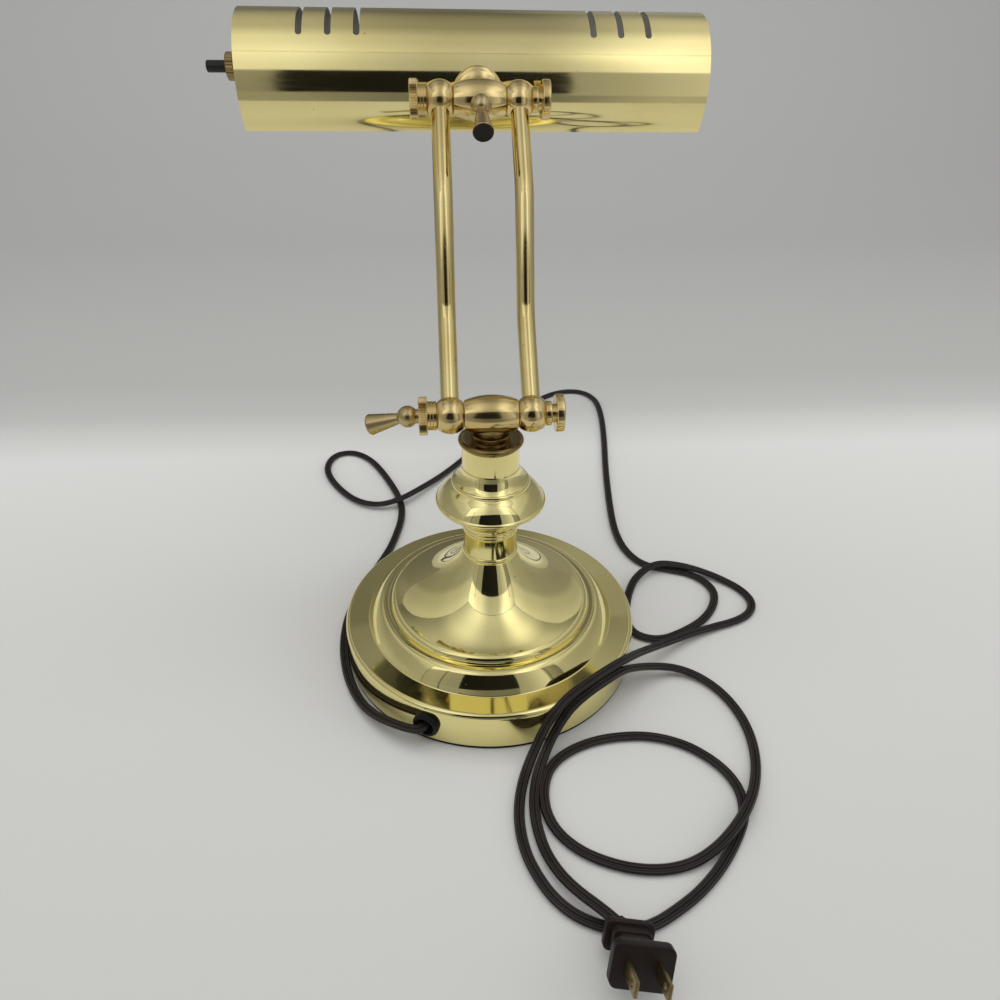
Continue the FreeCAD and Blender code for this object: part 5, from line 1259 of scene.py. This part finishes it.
def rounded_block(name, size, centre, corner_radius, edge):
    """A block with rounded corners across Z and softened edges, in the plug's own frame."""
    bpy.ops.object.select_all(action="DESELECT")
    bpy.ops.mesh.primitive_cube_add(size=1)
    piece = bpy.context.object
    piece.name = name
    with editing(piece):
        bpy.ops.transform.resize(value=Vector(size) * MM)
        bpy.ops.transform.translate(value=Vector(centre) * MM)
        bpy.ops.mesh.select_mode(type="EDGE")
        bpy.ops.mesh.select_all(action="DESELECT")
    for mesh_edge in piece.data.edges:
        ends = [piece.data.vertices[index].co for index in mesh_edge.vertices]
        mesh_edge.select = abs((ends[1] - ends[0]).normalized().z) > 0.9
    with editing(piece, None):
        bpy.ops.mesh.bevel(offset=corner_radius * MM, segments=8, affect="EDGES")
        bpy.ops.mesh.select_mode(type="VERT")
    modifier = piece.modifiers.new("soft", "BEVEL")
    modifier.width = edge * MM
    modifier.segments = 3
    modifier.limit_method = "ANGLE"
    modifier.angle_limit = math.radians(40)
    bpy.ops.object.modifier_apply(modifier=modifier.name)
    return piece


# %% Mould the plug
plug = rounded_block("plug", (24.8, 17.8, 4.4), (0, 0, 1.0), 3.4, 0.5)
for name, size, centre, corner_radius, edge in (
    ("neck", (13.0, 8.4, 14.0), (0, 0, -6.5), 2.0, 0.6),
    ("shoulder", (16.0, 10.4, 5.0), (0, -0.3, -14.6), 2.4, 0.5),
    ("rear", (20.8, 12.6, 3.2), (0, 0, -18.0), 2.8, 0.6),
):
    joined(plug, rounded_block(name, size, centre, corner_radius, edge))
plug.data.transform(plug_frame)
cord_end = Vector(cord_route[-1]) / MM
cord_way = (cord_end - Vector(cord_route[-2]) / MM).normalized()
cord_boss = turned("cord_boss", [(-1.5, 0), (-1.5, 3.2), (5.5, 3.6), (5.5, 0)], axis="X", ease=0.4,
                   segments=48, closed=False)
joined(plug, lay_along(cord_boss, cord_way, cord_end))
finished(plug, "plug_body", plug_plastic)

# %% Stamp the blades
BLADE_OFFSET = 6.35
HOLE_HEIGHT = 12.5
HOLE_RADIUS = 1.6
blade_pieces = []
for side in (-1, 1):
    blade_middle = BLADE_OFFSET * side
    blade = rounded_block("blade", (1.5, 6.35, 20.5), (blade_middle, 0, 6.25), 0.25, 0.3)
    hole = rod("hole", HOLE_RADIUS, (blade_middle - 3, 0, HOLE_HEIGHT),
               (blade_middle + 3, 0, HOLE_HEIGHT), 32)
    blade_pieces.append(carve(blade, hole))
alone(blade_pieces[0])
blade_pieces[1].select_set(True)
bpy.ops.object.join()
blades = bpy.context.object
blades.data.transform(plug_frame)
finished(blades, "plug_blades", blade_brass)
print("plug", len(plug.data.polygons), "blades", len(blades.data.polygons))

# %% Finish the cord
close_up(flat_cord)
for polygon in flat_cord.data.polygons:
    polygon.use_smooth = len(polygon.vertices) == 4
flat_cord.data.materials.append(cord_plastic)
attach(flat_cord, body_of["power_cord"])
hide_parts("power_cord")

# %% [markdown]
# ## The pieces inside
#
# Weight, pipe, nuts, lampholder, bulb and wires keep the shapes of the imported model. They only
# need their surfaces.

# %% Dress the inner pieces
inner_surfaces = {
    cast_iron: ["base_weight"],
    steel: ["pipe_washer", "pipe_nut", "threaded_pipe", "stem_nut", "inner_saddle", "holder_strip",
            "bulb_cap"],
    wire_plastic: ["arm_lead", "shade_lead", "switch_lead"],
    cord_plastic: ["inner_cord"],
    satin_brass: ["shade_stem"],
    black_plastic: ["lampholder"],
    bulb_white: ["bulb_glass"],
}
for surface, nodes in inner_surfaces.items():
    for node in nodes:
        piece = frame["nodes"][node]
        piece.data.materials.clear()
        piece.data.materials.append(surface)
print("inner pieces dressed")

# %% [markdown]
# ## The studio
#
# Polished metal shows what stands around it more than its own colour, so the studio matters more
# here than for most objects. The lamp stands on a pale sweep inside a white tent. The tent has a
# dark opening on the side of the camera, and the dark bands on the shade and on the base are that
# opening. The sweep is one strip of mesh: flat floor, a wide bend, an upright wall.

# %% Lay the floor and the wall
FLOOR_HALF = 2.4
BEND_START = 0.9
BEND_RADIUS = 0.9
BEND_STEPS = 24
WALL_TOP = 2.6


def sweep_places():
    """The side outline of the sweep, from the near edge of the floor to the top of the wall."""
    places = [Vector((-FLOOR_HALF, -FLOOR_HALF, 0)), Vector((-FLOOR_HALF, BEND_START, 0))]
    for index in range(1, BEND_STEPS + 1):
        angle = math.radians(90 * index / BEND_STEPS)
        places.append(Vector((-FLOOR_HALF, BEND_START + BEND_RADIUS * math.sin(angle),
                              BEND_RADIUS * (1 - math.cos(angle)))))
    places.append(Vector((-FLOOR_HALF, BEND_START + BEND_RADIUS, WALL_TOP)))
    return [place / MM for place in places]


sweep = trace("studio_sweep", sweep_places(), closed=False)
with editing(sweep):
    bpy.ops.mesh.extrude_region_move(TRANSFORM_OT_translate={"value": (2 * FLOOR_HALF, 0, 0)})
    bpy.ops.mesh.select_all(action="SELECT")
    bpy.ops.mesh.normals_make_consistent(inside=False)
bpy.ops.object.shade_smooth()
print("sweep faces", len(sweep.data.polygons))

# %% [markdown]
# The floor is brightest beside the lamp and falls off towards the wall, as under one large lamp
# above. The fall is painted into the colour with a ramp along Y, and the lights stay even.

# %% Paint the sweep
sweep_material, tree, shader = new_surface("studio_paper", 0.9, 0.0, Specular_IOR_Level=0.1)
RAMP_START, RAMP_END = -0.4, 1.8
RAMP_STOPS = (
    (0.0, (0.52, 0.515, 0.49)), (0.10, (0.545, 0.54, 0.515)), (0.20, (0.59, 0.585, 0.56)),
    (0.286, (0.66, 0.66, 0.635)), (0.304, (0.58, 0.58, 0.555)), (0.322, (0.48, 0.48, 0.46)),
    (0.354, (0.43, 0.43, 0.41)), (0.47, (0.43, 0.425, 0.41)), (0.75, (0.455, 0.45, 0.435)),
    (1.0, (0.51, 0.51, 0.49)),
)
depth = spread(tree, coordinates(tree)["Y"], RAMP_START, RAMP_END)
feed(tree, shader.inputs["Base Color"], colour_ramp(tree, depth, RAMP_STOPS).outputs["Color"])
sweep.data.materials.clear()
sweep.data.materials.append(sweep_material)

# %% [markdown]
# The tent is a box of cards that only reflections can see. That splits the work in two: the cards
# decide what the brass shows, and the lamps and the world decide how light everything is. Each card
# glows by itself, brighter in some places than in others, and the seams between them are thin dark
# strips.

# %% A helper for cards
def strength_along(tree, axis, low, high, stops):
    """A strength that follows stops of (place in metres, strength) along one axis."""
    run = spread(tree, coordinates(tree)[axis], low, high)
    shares = [((place - low) / (high - low), (strength,) * 3) for place, strength in stops]
    ramp = colour_ramp(tree, run, shares)
    ramp.color_ramp.interpolation = "EASE"
    return ramp.outputs["Color"]


def card(name, low, high, across, along):
    """A glowing card between two corners in metres, brighter and darker along two of its axes."""
    bpy.ops.object.select_all(action="DESELECT")
    bpy.ops.mesh.primitive_cube_add(size=1)
    piece = bpy.context.object
    piece.name = name
    low, high = Vector(low), Vector(high)
    piece.data.transform(Matrix.Translation((low + high) / 2) @ Matrix.Diagonal((*(high - low), 1)))
    material = bpy.data.materials.new(name)
    material.use_nodes = True
    tree = material.node_tree
    tree.nodes.clear()
    strengths = []
    for axis, stops in (across, along):
        index = "XYZ".index(axis)
        strengths.append(strength_along(tree, axis, low[index], high[index], stops))
    glow = add_node(tree, "Emission", Color=calculate(tree, "MULTIPLY", *strengths, kind="VectorMath"))
    add_node(tree, "OutputMaterial", Surface=glow.outputs["Emission"])
    piece.data.materials.append(material)
    piece.visible_camera = False
    piece.visible_diffuse = False
    piece.visible_shadow = False
    piece.visible_transmission = False


# %% Hang the tent
LEFT, RIGHT, FRONT, BACK, TOP = -0.62, 0.60, -0.38, 0.95, 0.90
THIN = 0.002
CEILING_LAMPS = ("X", ((LEFT, 0.55), (-0.24, 1.0), (0.0, 0.58), (0.10, 0.58), (0.30, 1.3), (RIGHT, 0.65)))
FRONT_LAMPS = ("X", ((LEFT, 1.2), (-0.44, 1.2), (-0.24, 0.95), (-0.02, 0.50), (0.10, 0.53), (0.28, 1.30),
                     (RIGHT, 0.60)))
card("tent_ceiling", (LEFT, FRONT, TOP), (RIGHT, BACK, TOP + THIN),
     CEILING_LAMPS, ("Y", ((FRONT, 1.0), (-0.05, 0.85), (0.25, 0.49), (BACK, 0.22))))
card("tent_left", (LEFT - THIN, FRONT, 0), (LEFT, BACK, TOP),
     ("Y", ((FRONT, 0.50), (0.0, 0.42), (0.3, 0.36), (BACK, 0.29))),
     ("Z", ((0.0, 1.1), (0.2, 0.75), (0.36, 0.75), (0.5, 1.1), (TOP, 1.5))))
card("tent_right", (RIGHT, FRONT, 0), (RIGHT + THIN, BACK, TOP),
     ("Y", ((FRONT, 0.58), (0.0, 0.45), (0.3, 0.38), (BACK, 0.32))),
     ("Z", ((0.0, 0.85), (0.2, 0.72), (0.36, 0.75), (0.5, 1.1), (TOP, 1.5))))
card("tent_back", (LEFT, BACK, 0), (RIGHT, BACK + THIN, TOP),
     ("X", ((LEFT, 0.24), (-0.2, 0.17), (0.02, 0.15), (0.3, 0.32), (RIGHT, 0.32))),
     ("Z", ((0.0, 0.8), (0.4, 0.8), (0.6, 1.0), (TOP, 0.9))))
card("tent_front", (LEFT, FRONT - THIN, 0), (RIGHT, FRONT, TOP),
     FRONT_LAMPS,
     ("Z", ((0.0, 0.32), (0.15, 0.32), (0.18, 0.28), (0.46, 0.31), (0.50, 0.90), (TOP, 1.05))))

# %% Open the front of the tent, and sew its seams
OPENING_LEFT, OPENING_RIGHT, OPENING_LOW, OPENING_TOP = -0.195, 0.133, 0.16, 0.48
FLAP_WIDTH = 0.24
SEAM, SEAM_GLOW = 0.004, 0.02
ZIP, ZIP_TOP = 0.007, 0.62
EVEN = ("Z", ((0.0, 1.0), (TOP, 1.0)))
card("tent_opening", (OPENING_LEFT, FRONT + THIN, OPENING_LOW),
     (OPENING_RIGHT, FRONT + 2 * THIN, OPENING_TOP),
     ("X", ((OPENING_LEFT, 0.010), (OPENING_RIGHT, 0.014))), EVEN)
card("tent_flap", (OPENING_RIGHT, FRONT + THIN, OPENING_LOW - 0.03),
     (OPENING_RIGHT + FLAP_WIDTH, FRONT + 2 * THIN, OPENING_TOP),
     ("X", ((OPENING_RIGHT, 0.34), (OPENING_RIGHT + FLAP_WIDTH, 0.66))), EVEN)
seams = [
    ("seam_top", (LEFT, FRONT, TOP - SEAM), (RIGHT, FRONT + SEAM, TOP)),
    ("seam_left", (LEFT, FRONT, 0), (LEFT + SEAM, FRONT + SEAM, TOP)),
    ("seam_right", (RIGHT - SEAM, FRONT, 0), (RIGHT, FRONT + SEAM, TOP)),
    ("seam_ceiling_left", (LEFT, FRONT, TOP - SEAM), (LEFT + SEAM, BACK, TOP)),
    ("seam_ceiling_right", (RIGHT - SEAM, FRONT, TOP - SEAM), (RIGHT, BACK, TOP)),
]
for name, x in (("seam_flap", 0.40), ("seam_zip", -0.36)):
    seams.append((name, (x, FRONT + THIN, 0), (x + ZIP, FRONT + 3 * THIN, ZIP_TOP)))
for name, low, high in seams:
    card(name, low, high, ("X", ((low[0], SEAM_GLOW), (high[0], SEAM_GLOW))), EVEN)
print("seams", len(seams))


# %% Light the tent
def softbox(name, place, aim, size, power):
    """A square lamp in metres, pointed at a place, that reflections don't show."""
    bpy.ops.object.light_add(type="AREA", location=place)
    lamp = bpy.context.object
    lamp.name = name
    lamp.data.shape = "RECTANGLE"
    lamp.data.size, lamp.data.size_y = size
    lamp.data.energy = power
    lamp.rotation_euler = (Vector(aim) - Vector(place)).to_track_quat("-Z", "Y").to_euler()
    lamp.visible_glossy = False


softbox("top_light", (0.0, 0.1, 1.5), (0, 0.1, 0), (1.6, 1.6), 12)
softbox("left_light", (-1.5, -0.2, 0.9), (0, 0, 0.15), (1.0, 1.2), 4)
softbox("right_light", (1.5, -0.2, 0.9), (0, 0, 0.15), (1.0, 1.2), 6)

world = bpy.data.worlds.new("tent")
bpy.context.scene.world = world
world.use_nodes = True
background = world.node_tree.nodes["Background"]
background.inputs["Color"].default_value = (0.93, 0.94, 0.96, 1)
background.inputs["Strength"].default_value = 0.62
bpy.context.scene.view_settings.view_transform = "Standard"
print("studio ready")
